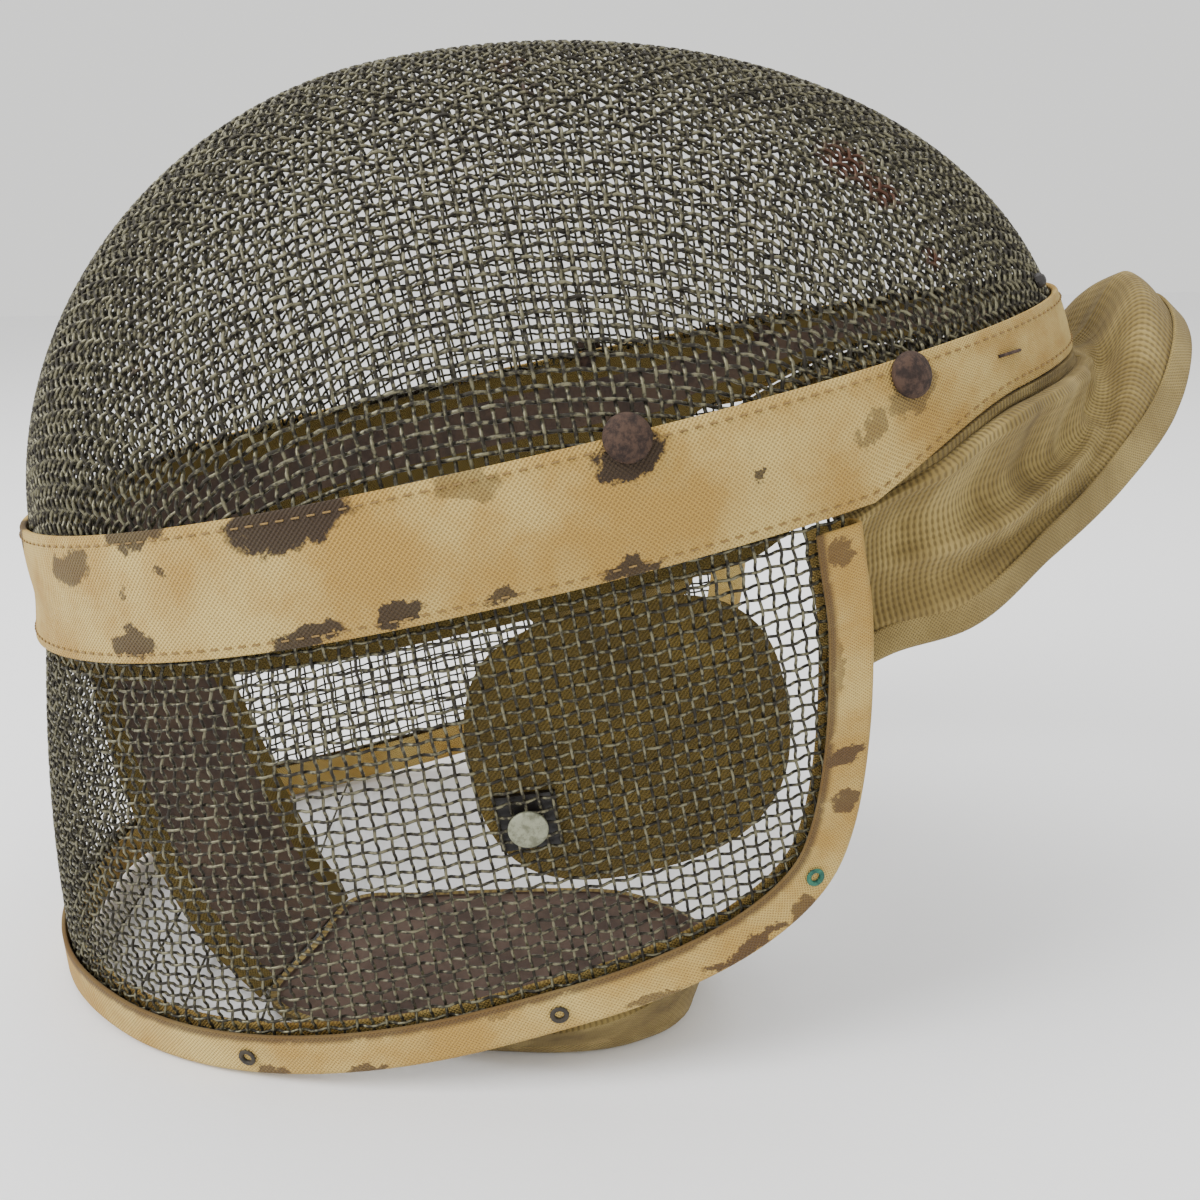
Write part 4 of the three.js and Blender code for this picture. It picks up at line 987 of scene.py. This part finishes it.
class MASK_OT_band(bpy.types.Operator):
    """Canvas band round the outside and leather lining inside"""
    bl_idname = "mask.band"
    bl_label = "Band and lining"

    def execute(self, context):
        sizes, colours = context.scene.mask_sizes, context.scene.mask_colours
        end = math.pi - BAND_END_GAP
        columns, rows = 360, 12
        fine = np.linspace(-end, end, 2001)
        path = cage_base(fine, 0.0)
        along = np.concatenate([[0], np.cumsum(np.linalg.norm(np.diff(path, axis=0), axis=1))])
        angle = np.interp(np.linspace(0, along[-1], columns + 1), along, fine)
        middle = (BAND_INNER + BAND_OUTER) / 2
        top, bottom = band_top(angle), band_bottom(angle)
        share = np.linspace(0, 1, rows + 1)
        height = bottom[:, None] + (top - bottom)[:, None] * share[None, :]
        rng = np.random.default_rng(4)
        wave = np.convolve(rng.normal(0, 1, columns + 41), np.hanning(41) / 20, "valid")[:columns + 1] * 0.25
        outset = middle + wave[:, None] * np.sin(share[None, :] * math.pi)
        points = to_part(cage(angle[:, None], height, outset))
        girth = run_length(points[:, rows // 2]) / MM

        def place_of(spot, sign):
            turn, over, half_along, half_across, slant, depth = spot
            under = float(band_bottom(turn))
            across = (over - under) / (float(band_top(turn)) - under) * BAND_WIDTH
            reach = float(np.interp(sign * turn, fine, along)) * girth / along[-1]
            return reach, across, half_along, half_across, sign * slant, depth

        stains = [place_of(spot, 1) for spot in BAND_STAINS]
        stains += [place_of(spot, -1) for spot in BAND_STAINS[::2]]
        canvas = woven_cotton("aged_cotton_canvas", tuple(colours.canvas_pale), tuple(colours.canvas),
                              tuple(colours.canvas_gap), stains, tuple(colours.stain),
                              sizes.thread_pitch / MM, 0.5)
        band = sheet_of("band_canvas", columns, rows, on_grid(points), CANVAS_WALL, [canvas],
                        (girth, BAND_WIDTH))
        ready(band, "canvas", "canvas_band")

        thread = sewing_thread("canvas_sewing_thread", linear("#9a7a44"))
        out = BAND_OUTER + 0.15
        lines = [to_part(cage(angle, top - 2.2, out)), to_part(cage(angle, bottom + 2.2, out))]
        stitched = stitches("band_stitches", lines, 3.4, 0.55, 0.45, thread)
        ready(stitched, "canvas")
        lacing = sewing_thread("black_lacing_thread", linear("#1f1c1a"))
        far = uniform(CROWN_LACING, 12)
        laced = stitches("crown_lacing", [to_part(cage(far[:, 0], far[:, 1], MESH_WALL / 2))], 4.2, 0.6, 1.1,
                         lacing)
        ready(laced, "black_leather")

        low = lining_bottom(angle)
        high = top - LINING_TOP_INSET
        height = low[:, None] + (high - low)[:, None] * share[None, :]
        points = to_part(cage(angle[:, None], height, (LINING_OUTER + LINING_INNER) / 2))
        inner = run_length(points[:, rows // 2]) / MM
        width = float((high - low).mean())
        leather = bordered_leather(colours, "leather_with_olive_tape", width, 6.5, sizes.tape_pitch / MM)
        lining = sheet_of("lining_leather", columns, rows, on_grid(points), LINING_WALL, [leather],
                          (inner, width))
        ready(lining, "leather", "band_lining")
        return {"FINISHED"}


# Stains on the band: angle, height over its middle, half sizes in millimetres, slant and depth
BAND_STAINS = (
    (1.300, 13.0, 14.0, 5.8, 0.05, 0.95),
    (1.002, 14.8, 8.5, 4.2, 0.00, 0.85),
    (1.600, 13.8, 7.0, 3.2, -0.15, 0.45),
    (1.802, 12.4, 8.0, 4.4, 0.15, 0.95),
    (1.286, -11.4, 8.0, 3.2, 0.15, 0.92),
    (0.947, -9.2, 6.5, 3.0, 0.00, 0.85),
    (1.456, -9.2, 6.0, 2.8, 0.20, 0.92),
    (1.608, -10.2, 3.6, 2.0, 0.00, 0.85),
    (1.777, -9.6, 5.5, 2.4, 0.10, 0.9),
    (1.037, 7.0, 1.5, 1.2, 0.00, 0.8),
    (1.964, 2.5, 1.4, 1.1, 0.00, 0.85),
    (0.947, 2.0, 1.3, 1.0, 0.00, 0.7),
    (2.150, 6.0, 5.0, 3.0, 0.30, 0.5),
    (2.235, 11.0, 7.4, 5.6, 0.10, 0.5),
    (0.800, 8.0, 9.0, 4.0, 0.10, 0.75),
    (0.450, 12.5, 10.0, 4.0, 0.00, 0.8),
    (0.300, -10.0, 9.0, 3.0, 0.10, 0.8),
)


# Black lacing up the far side of the crown: angle and height over the band's middle
CROWN_LACING = ((-0.535, 69.5), (-0.785, 56.8), (-0.954, 37.3), (-1.061, 18.0))


def stitches(name, lines, pitch, share, diameter, finish):
    """Sewing thread along lines of points in metres: one short piece for each stitch."""
    threads = []
    for line in lines:
        count = max(int(run_length(line) / MM / pitch), 1)
        fine = evenly(line, count * 6)
        for k in range(count):
            threads.append(fine[k * 6:k * 6 + 1 + max(round(6 * share), 2)])
    return tubes(name, threads, diameter * MM, 5, finish)


class MASK_OT_edge_binding(bpy.types.Operator):
    """Cotton tape folded over the edge of the face"""
    bl_idname = "mask.edge_binding"
    bl_label = "Edge binding"

    def execute(self, context):
        sizes, colours = context.scene.mask_sizes, context.scene.mask_colours
        rim = rim_line()
        start = lining_bottom(REAR_EDGE_ANGLE - TAPE_WIDTH / HALF_WIDTH) - GAP
        first = int(np.argmax(rim[:, 1] <= start))
        columns = 320
        line = rim[first:len(rim) - first]
        spread = evenly(line * (HALF_WIDTH, 1), columns) / (HALF_WIDTH, 1)
        edge = cage_base(spread[:, 0], spread[:, 1])
        normal = cage_normal(spread[:, 0], spread[:, 1])
        run = unit(np.gradient(edge, axis=0))
        inward = unit(np.cross(run, normal))
        tip = walk(spread, inward, TAPE_WIDTH)
        out = MESH_WALL / 2 + GAP + TAPE_WALL / 2
        inn = MESH_WALL / 2 + TAPE_INNER_GAP + TAPE_WALL / 2
        tip_normal = cage_normal(tip[:, 0], tip[:, 1])
        points = folded(edge, normal, inward, cage_base(tip[:, 0], tip[:, 1]), tip_normal, out, inn,
                        FOLD_GAP + TAPE_WALL / 2)
        points = to_part(points)
        reach = run_length(points[:, 5]) / MM
        around = run_length(points[columns // 2]) / MM
        finish = woven_cotton("stained_cotton_tape", tuple(colours.canvas_pale), tuple(colours.canvas),
                              tuple(colours.canvas_gap), tape_stains(reach), linear("#38200e"),
                              sizes.tape_pitch / MM, 0.35, (2.4, 0.7, 0.8), 0.3)
        tape = sheet_of("edge_tape", columns, points.shape[1] - 1, on_grid(points), TAPE_WALL, [finish],
                        (reach, around))
        ready(tape, "tape", "edge_binding")
        return {"FINISHED"}


def tape_stains(reach):
    """Stains on the tape: distance along it from the left rear end, distance from its outer free edge."""
    near = (
        (6, 4, 4.0, 2.2, 0.0, 0.7),
        (38, 1, 9.0, 1.6, 0.0, 0.5),
        (66, 4, 2.6, 5.0, 0.3, 0.85),
        (80, 6, 3.0, 3.4, 0.3, 0.8),
        (112, 9, 3.2, 3.2, 0.0, 0.75),
        (126, 8, 10.0, 1.8, 0.0, 0.85),
        (147, 9, 6.0, 1.5, 0.0, 0.7),
        (176, 2, 2.4, 1.3, 0.0, 0.5),
        (205, 9, 4.0, 1.6, 0.0, 0.8),
        (226, 9, 3.2, 1.6, 0.0, 0.8),
    )
    return [*near, *((reach - a, b, c, d, -e, f) for a, b, c, d, e, f in near[::2])]


def walk(places, direction, distance):
    """Walks over the cage from places on it, in a direction at each, for a distance."""
    strides, step = 4, 1e-3
    angle, height = places[:, 0].copy(), places[:, 1].copy()
    for _ in range(strides):
        here = cage_base(angle, height)
        along = (cage_base(angle + step, height) - here) / step
        up = (cage_base(angle, height + step) - here) / step
        rr, ru, uu = (along * along).sum(1), (along * up).sum(1), (up * up).sum(1)
        dr, du = (along * direction).sum(1), (up * direction).sum(1)
        determinant = rr * uu - ru * ru
        angle = angle + (dr * uu - du * ru) / determinant * distance / strides
        height = height + (du * rr - dr * ru) / determinant * distance / strides
    return np.stack([angle, height], axis=1)


def folded(edge, normal, inward, tip, tip_normal, out, inn, fold):
    """A tape folded over an edge: rows from its outer free edge round the fold to its inner one."""
    rows = []
    for share in np.linspace(1, 0, 9)[:-1]:
        rows.append(edge + (tip - edge) * share + (normal + (tip_normal - normal) * share) * out)
    centre, radius = (out - inn) / 2, (out + inn) / 2
    for turn in np.linspace(0, math.pi, 9):
        across = centre + radius * math.cos(turn)
        rows.append(edge + normal * across - inward * fold * math.sin(turn))
    for share in np.linspace(0, 1, 9)[1:]:
        rows.append(edge + (tip - edge) * share - (normal + (tip_normal - normal) * share) * inn)
    return np.stack(rows, axis=1)


def hood_row(span):
    """The hood's section at a span, from a smooth curve through the table's rows."""
    table = np.array(HOOD)
    k = min(max(int(np.searchsorted(table[:, 0], span - 1e-9)), 1), len(table) - 1)
    low, high = table[k - 1, 0], table[k, 0]
    t = (span - low) / (high - low)
    p0, p1, p2, p3 = (table[min(max(k + n, 0), len(table) - 1)] for n in (-2, -1, 0, 1))
    m1, m2 = (p2 - p0) / 2, (p3 - p1) / 2
    a = 2 * p1 - 2 * p2 + m1 + m2
    b = -3 * p1 + 3 * p2 - 2 * m1 - m2
    return ((a * t + b) * t + m1) * t + p1


def hood_line(side, shares):
    """Points down the hood at one side share, from its seam under the band to its edge."""
    span = abs(side)
    _, bend_out, bend_drop, crest_out, crest_drop, edge_out, edge_drop = hood_row(span)
    seam, edge = math.pi - span * HOOD_SEAM_SPAN, math.pi - span * HOOD_EDGE_SPAN

    def flare(angle, out, height):
        point = cage_base(angle, min(height, 0)).copy()
        point[2] = height
        return point + cage_normal(angle, min(height, 0)) * out

    low = band_bottom(seam)
    outset = HOOD_ON_CAGE + (HOOD_TUCKED - HOOD_ON_CAGE) * soft_step(span, HOOD_TUCK_START, HOOD_TUCK_END)
    bend = bend_out * HOOD_REACH
    line = centripetal([
        cage(seam, low - HOOD_SEAM_GAP, outset),
        cage(seam, low - HOOD_HANG, outset),
        flare(seam, outset + max(bend, 0) * HOOD_TURN_OUT, low - HOOD_TURN),
        flare((seam + edge) / 2, bend, -bend_drop * HOOD_DROP),
        flare(edge, crest_out * HOOD_REACH, -crest_drop * HOOD_DROP),
        flare(edge, edge_out * HOOD_REACH, -edge_drop * HOOD_DROP),
    ], shares)
    return line * ((1 if side >= 0 else -1), 1, 1)


# Folds of the hood: side and share down it at each end, then half width and height in millimetres
HOOD_FOLDS = (
    (0.30, 0.30, 0.95, 0.26, 3.4, 3.4),
    (0.30, 0.42, 0.95, 0.40, 2.2, -3.6),
    (0.38, 0.56, 0.93, 0.55, 3.6, 3.6),
    (0.42, 0.68, 0.92, 0.68, 2.0, -3.2),
    (0.52, 0.84, 0.90, 0.78, 3.2, 2.6),
    (0.70, 0.92, 0.96, 0.88, 1.8, -1.8),
    (0.12, 0.60, 0.50, 0.80, 4.5, 2.0),
)


def hood_grid(columns, rows):
    """The hood's middle surface as a grid of points in the cage's frame, from one front end to the other."""
    sides = np.linspace(-1, 1, columns + 1)
    shares = np.linspace(0, 1, rows + 1)
    points = np.array([hood_line(side, shares) for side in sides])
    normals = -grid_normals(points)
    lift = np.zeros(points.shape[:2])
    for side_a, share_a, side_b, share_b, half, height in HOOD_FOLDS:
        for k, side in enumerate(sides):
            t = np.clip((abs(side) - side_a) / (side_b - side_a), 0, 1)
            inside = min(side_a, side_b) - 0.05 <= abs(side) <= max(side_a, side_b) + 0.05
            fade = math.sin(math.pi * (0.08 + 0.84 * t)) if inside else 0
            middle = share_a + (share_b - share_a) * t
            distance = (shares - middle) * 60 / half
            lift[k] += height * fade * np.exp(-distance ** 2)
    gathers = np.sin(np.clip((shares - 0.25) / 0.6, 0, 1) * math.pi) ** 2
    lift += 0.9 * gathers[None, :] * np.sin(2 * math.pi * 7 * np.abs(sides))[:, None]
    return points + normals * lift[..., None]


class MASK_OT_hood(bpy.types.Operator):
    """Khaki twill hood behind the band, with its bound edge and stitching"""
    bl_idname = "mask.hood"
    bl_label = "Hood"

    def execute(self, context):
        sizes, colours = context.scene.mask_sizes, context.scene.mask_colours
        columns, rows = 240, 60
        points = hood_grid(columns, rows)
        part = to_part(points)
        girth, drop = run_length(part[:, rows // 2]) / MM, run_length(part[columns // 2]) / MM
        finish = twill_finish("khaki_cotton_twill", tuple(colours.khaki_pale), tuple(colours.khaki),
                              tuple(colours.khaki_grime_and_shade), sizes.twill_pitch / MM, 0.0, 0.4)
        hood = sheet_of("hood_twill", columns, rows, on_grid(part), HOOD_WALL, [finish], (girth, drop))
        ready(hood, "twill", "rear_hood")

        edge, before = points[:, -1], points[:, -2]
        inward = unit(before - edge)
        normal = -grid_normals(points)[:, -1]
        tip = edge + inward * HOOD_TAPE_WIDTH
        half = HOOD_WALL / 2 + BAND_GAP + HOOD_TAPE_WALL / 2
        bound = to_part(folded(edge, normal, inward, tip, normal, half, half, FOLD_GAP + HOOD_TAPE_WALL / 2))
        reach, around = run_length(bound[:, 8]) / MM, run_length(bound[columns // 2]) / MM
        tape_finish = woven_cotton("khaki_cotton_tape", tuple(colours.khaki_pale), tuple(colours.khaki),
                                   tuple(colours.khaki_grime_and_shade),
                                   [(24, 4, 7, 2, 0, 0.5), (reach - 40, 5, 9, 2, 0, 0.5)],
                                   linear("#6b451d"), sizes.tape_pitch / MM, 0.3)
        tape = sheet_of("hood_tape", columns, bound.shape[1] - 1, on_grid(bound), HOOD_TAPE_WALL,
                        [tape_finish],
                        (reach, around))
        ready(tape, "tape", "hood_binding")

        out = half + HOOD_TAPE_WALL / 2 + 0.1
        hem = [to_part(edge + inward * place + normal * out)[3:-3] for place in (3.6, 5.4)]
        thread = sewing_thread("khaki_sewing_thread", linear("#8b7340"))
        ready(stitches("hood_stitches", hem, 2.4, 0.6, 0.4, thread), "tape")
        return {"FINISHED"}


class MASK_OT_chin_pieces(bpy.types.Operator):
    """Chin strap and bib"""
    bl_idname = "mask.chin_pieces"
    bl_label = "Chin strap and bib"

    def execute(self, context):
        sizes, colours = context.scene.mask_sizes, context.scene.mask_colours
        lift = CAGE_ORIGIN[2]
        shift = CAGE_ORIGIN[1]

        def inside(across, along, height):
            return np.array([across * HALF_WIDTH, along * FRONT_DEPTH + shift, height * lift])

        on_lining = LINING_INNER - STRAP_SEAT
        top = [tilted(cage(STRAP_TOP[key], STRAP_TOP["height"] * BAND_WIDTH, on_lining)) + CAGE_ORIGIN
               for key in ("angle", "back")]
        columns, rows = 90, 16
        shares = np.linspace(0, 1, columns + 1)
        front = centripetal([top[0]] + [inside(*row[:3]) for row in STRAP], shares)
        back = centripetal([top[1]] + [inside(*row[3:]) for row in STRAP], shares)
        across = np.linspace(0, 1, rows + 1)[None, :, None]
        points = (front[:, None] * (1 - across) + back[:, None] * across) * MM
        strap_length, width = run_length(points[:, rows // 2]) / MM, run_length(points[columns // 2]) / MM
        leather = bordered_leather(colours, "strap_leather_with_olive_tape", width, BORDER_WIDTH,
                                   sizes.tape_pitch / MM)
        strap = sheet_of("strap_leather", columns, rows, on_grid(points), STRAP_WALL, [leather],
                         (strap_length, width))
        ready(strap, "leather", "chin_strap")

        corners = [(a * HALF_WIDTH, b * FRONT_DEPTH + shift, c * BIB_LIP) for a, b, c in BIB]
        outline = uniform(corners, 8, True)
        middle = np.mean([inside(a, b, 0) for a, b, _ in BIB], axis=0)
        count = len(outline)
        around = np.concatenate([outline, outline[:1]])
        foot = around * (1, 1, 0)
        outward = unit(foot - middle)
        bend = np.minimum(np.maximum(around[:, 2] / 2, BIB_WALL * 0.6), BIB_BEND)[:, None]
        lean = (BIB_LEAN * np.maximum(around[:, 2] - 2 * BIB_WALL, 0))[:, None]
        half = BIB_WALL / 2
        up = np.array([0, 0, 1.0])
        flat_edge = foot - outward * (bend + half)
        rings = [middle + (flat_edge - middle) * share + up * half for share in np.linspace(0, 1, 9)]
        for turn in np.linspace(0, math.pi / 2, 5)[1:]:
            rings.append(flat_edge + outward * bend * math.sin(turn)
                         + up * (half + (bend - half) * (1 - math.cos(turn))))
        high = np.maximum(around[:, 2:3], bend + 0.3)
        for share in np.linspace(0, 1, 7)[1:]:
            rings.append(foot - outward * half + outward * lean * share + up * (bend + (high - bend) * share))
        points = np.stack(rings, axis=1) * MM
        bib_leather = plain_leather("bib_leather", linear("#5f4c40"), linear("#43332a"), 0.7)
        khaki = twill_finish("bib_khaki_twill", tuple(colours.khaki_pale), tuple(colours.khaki),
                             tuple(colours.khaki_grime_and_shade),
                             sizes.twill_pitch / MM, 0.8, 0.3)
        bib = sheet_of("bib_cloth", count, points.shape[1] - 1, on_grid(points), BIB_WALL,
                       [khaki, bib_leather, khaki],
                       (run_length(points[:, -1]) / MM, run_length(points[0]) / MM), closed=True)
        ready(bib, "twill", "throat_bib")
        return {"FINISHED"}


class MASK_OT_cheek_pads(bpy.types.Operator):
    """Stuffed twill pads inside the face"""
    bl_idname = "mask.cheek_pads"
    bl_label = "Cheek pads"

    def execute(self, context):
        sizes, colours = context.scene.mask_sizes, context.scene.mask_colours
        finish = twill_finish("olive_cotton_twill", linear("#7f6a30"), tuple(colours.olive_pale),
                              linear("#40330f"), 0.8,
                              0.6, 0.3)
        outset = -OUTER_SKIN - INNER_GAP - WASHER_WALL - GAP
        middle = float(lining_bottom(PAD_ANGLE - PAD_HALF_ANGLE)) - PAD_TOP_GAP - PAD_HALF_HEIGHT
        for side, sign in SIDES:
            bm = bmesh.new()
            layer = bm.loops.layers.uv.new("UVMap")
            bmesh.ops.create_uvsphere(bm, u_segments=72, v_segments=36, radius=1, calc_uvs=True)
            for vert in bm.verts:
                x, y, z = vert.co
                turn = math.atan2(y, x)
                c, s = math.cos(turn), math.sin(turn)
                oval = (abs(c) ** PAD_SQUARENESS + abs(s) ** PAD_SQUARENESS) ** (-1 / PAD_SQUARENESS)
                ring = math.hypot(x, y)
                edge = max(1 - ring ** 6, 0) ** 0.5
                full = PAD_EDGE + (PAD_THICKNESS - PAD_EDGE) * (1 - ring ** PAD_CROWN)
                seam = math.exp(-((ring - 0.9) / 0.035) ** 2) * 0.5
                depth = full * (0.5 + 0.5 * edge) - seam if z >= 0 else PAD_EDGE * 0.5 * (1 - edge)
                angle = PAD_ANGLE + ring * oval * c * PAD_HALF_ANGLE
                height = middle + ring * oval * s * PAD_HALF_HEIGHT
                vert.co = Vector(to_part(cage(angle, height, outset - depth) * (sign, 1, 1)))
            for face in bm.faces:
                for loop in face.loops:
                    loop[layer].uv = (loop.vert.co.y / MM, loop.vert.co.z / MM)
            bmesh.ops.recalc_face_normals(bm, faces=bm.faces)
            mesh = bpy.data.meshes.new(f"pad_{side}")
            bm.to_mesh(mesh)
            bm.free()
            smooth(mesh)
            mesh.materials.append(finish)
            pad = new_object(f"pad_{side}", mesh)
            ready(pad, "pad", f"cheek_pad_{side}")
        return {"FINISHED"}


def domed(radius, height, edge, steps=8):
    """Profile of a round head from its top down to its edge."""
    turns = np.linspace(0, math.pi / 2, steps + 1)
    return [(radius * math.sin(t), edge + (height - edge) * math.cos(t)) for t in turns]


class MASK_OT_fasteners(bpy.types.Operator):
    """Rivets, washers, eyelets, stud and staples"""
    bl_idname = "mask.fasteners"
    bl_label = "Fasteners"

    def execute(self, context):
        colours = context.scene.mask_colours
        rust = pitted_metal("rusted_steel", tuple(colours.rust), linear("#2c211d"), 0.35, 0.7, 0.35)
        zinc = pitted_metal("dull_zinc_plate", tuple(colours.zinc), linear("#6a6b58"), 0.5, 0.5, 0.15)
        verdigris = pitted_metal("corroded_brass", linear("#2f6b55"), linear("#1f4a42"), 0.3, 0.6, 0.2)
        blackened = pitted_metal("blackened_brass", linear("#2b2722"), linear("#3f382d"), 0.4, 0.5, 0.1)
        hide = plain_leather("black_leather", tuple(colours.black), linear("#14110f"), 0.5)
        for side, sign in SIDES:
            for name, angle, below in BAND_RIVETS:
                point, axis = seat(angle, band_top(angle) - below * BAND_WIDTH, BAND_OUTER + GAP, sign)
                profile = [*domed(5.25, 3.4, 0.7, 10), (5.0, 0), (1.5, 0), (1.5, -BAND_STACK),
                           (3.25, -BAND_STACK),
                           (3.25, -BAND_STACK - TAIL), (0, -BAND_STACK - TAIL)]
                ready(turned_piece(f"rivet_{name}_{side}", profile, 40, rust, point, axis), "rust",
                      f"band_rivet_{name}_{side}")
            point, axis = seat(PAD_RIVET["angle"], -PAD_RIVET["drop"] * FACE_DROP, OUTER_SKIN + GAP, sign)
            profile = [*domed(4.6, 1.3, 0.5, 8), (4.6, 0), (1.5, 0), (1.5, -PAD_STACK), (3.25, -PAD_STACK),
                       (3.25, -PAD_STACK - TAIL), (0, -PAD_STACK - TAIL)]
            ready(turned_piece(f"pad_rivet_{side}", profile, 40, zinc, point, axis), "zinc",
                  f"cheek_rivet_{side}")
            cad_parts[f"cheek_washer_{side}"].data.materials.clear()
            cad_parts[f"cheek_washer_{side}"].data.materials.append(hide)
            point, axis = seat(STAPLE["angle"], band_top(STAPLE["angle"]) - STAPLE["below"] * BAND_WIDTH,
                               BAND_OUTER + GAP + STAPLE["wire"] / 2, sign)
            up = (Vector((0, 0, 1)) - axis * axis.z).normalized()
            back = up.cross(axis) * sign
            along = back * math.cos(STAPLE["slope"]) + up * math.sin(STAPLE["slope"])
            half = STAPLE["length"] / 2 * MM
            legs = [point + along * half * k - axis * abs(k) ** 6 * 0.4 * MM for k in np.linspace(-1, 1, 9)]
            bar = tubes(f"staple_{side}", [np.array(legs)], STAPLE["wire"] * MM, 8, rust)
            ready(bar, "rust", f"band_staple_{side}")
            rim = rim_line()
            for (name, angle), metal in zip(EYELETS, (blackened, blackened, verdigris)):
                chin = rim[len(rim) // 8: len(rim) // 2]
                k = len(rim) // 8 + int(np.argmin(np.abs(chin[:, 0] - angle)))
                here = rim[k:k + 1]
                run = unit(cage_base(*rim[k + 1]) - cage_base(*rim[k - 1]))
                inward = unit(np.cross(run, cage_normal(*rim[k])))[None]
                centre = walk(here, inward, (TAPE_WIDTH - FOLD_GAP - TAPE_WALL) / 2)[0]
                point, axis = seat(centre[0], centre[1], OUTER_SKIN + GAP + TAPE_WALL + GAP, sign)
                turns = np.linspace(-math.pi / 2, math.pi, 8)
                lip = [(1.75 + 0.6 * math.cos(t), 0.25 + 0.35 * math.sin(t)) for t in turns]
                profile = [(1.5, -0.1), *lip, (1.1, -6.1), (1.5, -6.1), (1.5, -0.1)]
                ready(turned_piece(f"eyelet_ring_{name}_{side}", profile, 28, metal, point, axis), "zinc",
                      f"eyelet_{name}_{side}")
        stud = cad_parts["crown_stud"]
        stud.data.materials.clear()
        stud.data.materials.append(hide)
        return {"FINISHED"}


class MASK_PT_panel(bpy.types.Panel):
    """Buttons for the mask's pieces"""
    bl_idname = "MASK_PT_panel"
    bl_label = "Fencing mask"
    bl_space_type = "VIEW_3D"
    bl_region_type = "UI"
    bl_category = "Mask"

    def draw(self, context):
        for step in STEPS:
            self.layout.operator(step)
        for group in (context.scene.mask_sizes, context.scene.mask_colours):
            for key in group.bl_rna.properties.keys():
                if key not in ("rna_type", "name"):
                    self.layout.prop(group, key)


STEPS = ("mask.studio", "mask.wire_cloth", "mask.band", "mask.edge_binding", "mask.hood", "mask.chin_pieces",
         "mask.cheek_pads", "mask.fasteners")
CLASSES = (MaskSizes, MaskColours, MASK_OT_studio, MASK_OT_wire_cloth, MASK_OT_band, MASK_OT_edge_binding,
           MASK_OT_hood, MASK_OT_chin_pieces, MASK_OT_cheek_pads, MASK_OT_fasteners, MASK_PT_panel)


def register():
    for made in CLASSES:
        bpy.utils.register_class(made)
    bpy.types.Scene.mask_sizes = PointerProperty(type=MaskSizes)
    bpy.types.Scene.mask_colours = PointerProperty(type=MaskColours)


def unregister():
    del bpy.types.Scene.mask_colours
    del bpy.types.Scene.mask_sizes
    for made in reversed(CLASSES):
        bpy.utils.unregister_class(made)


def main():
    """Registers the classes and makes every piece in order."""
    register()
    for step in STEPS:
        group, name = step.split(".")
        getattr(getattr(bpy.ops, group), name)()


if __name__ == "__main__":
    main()
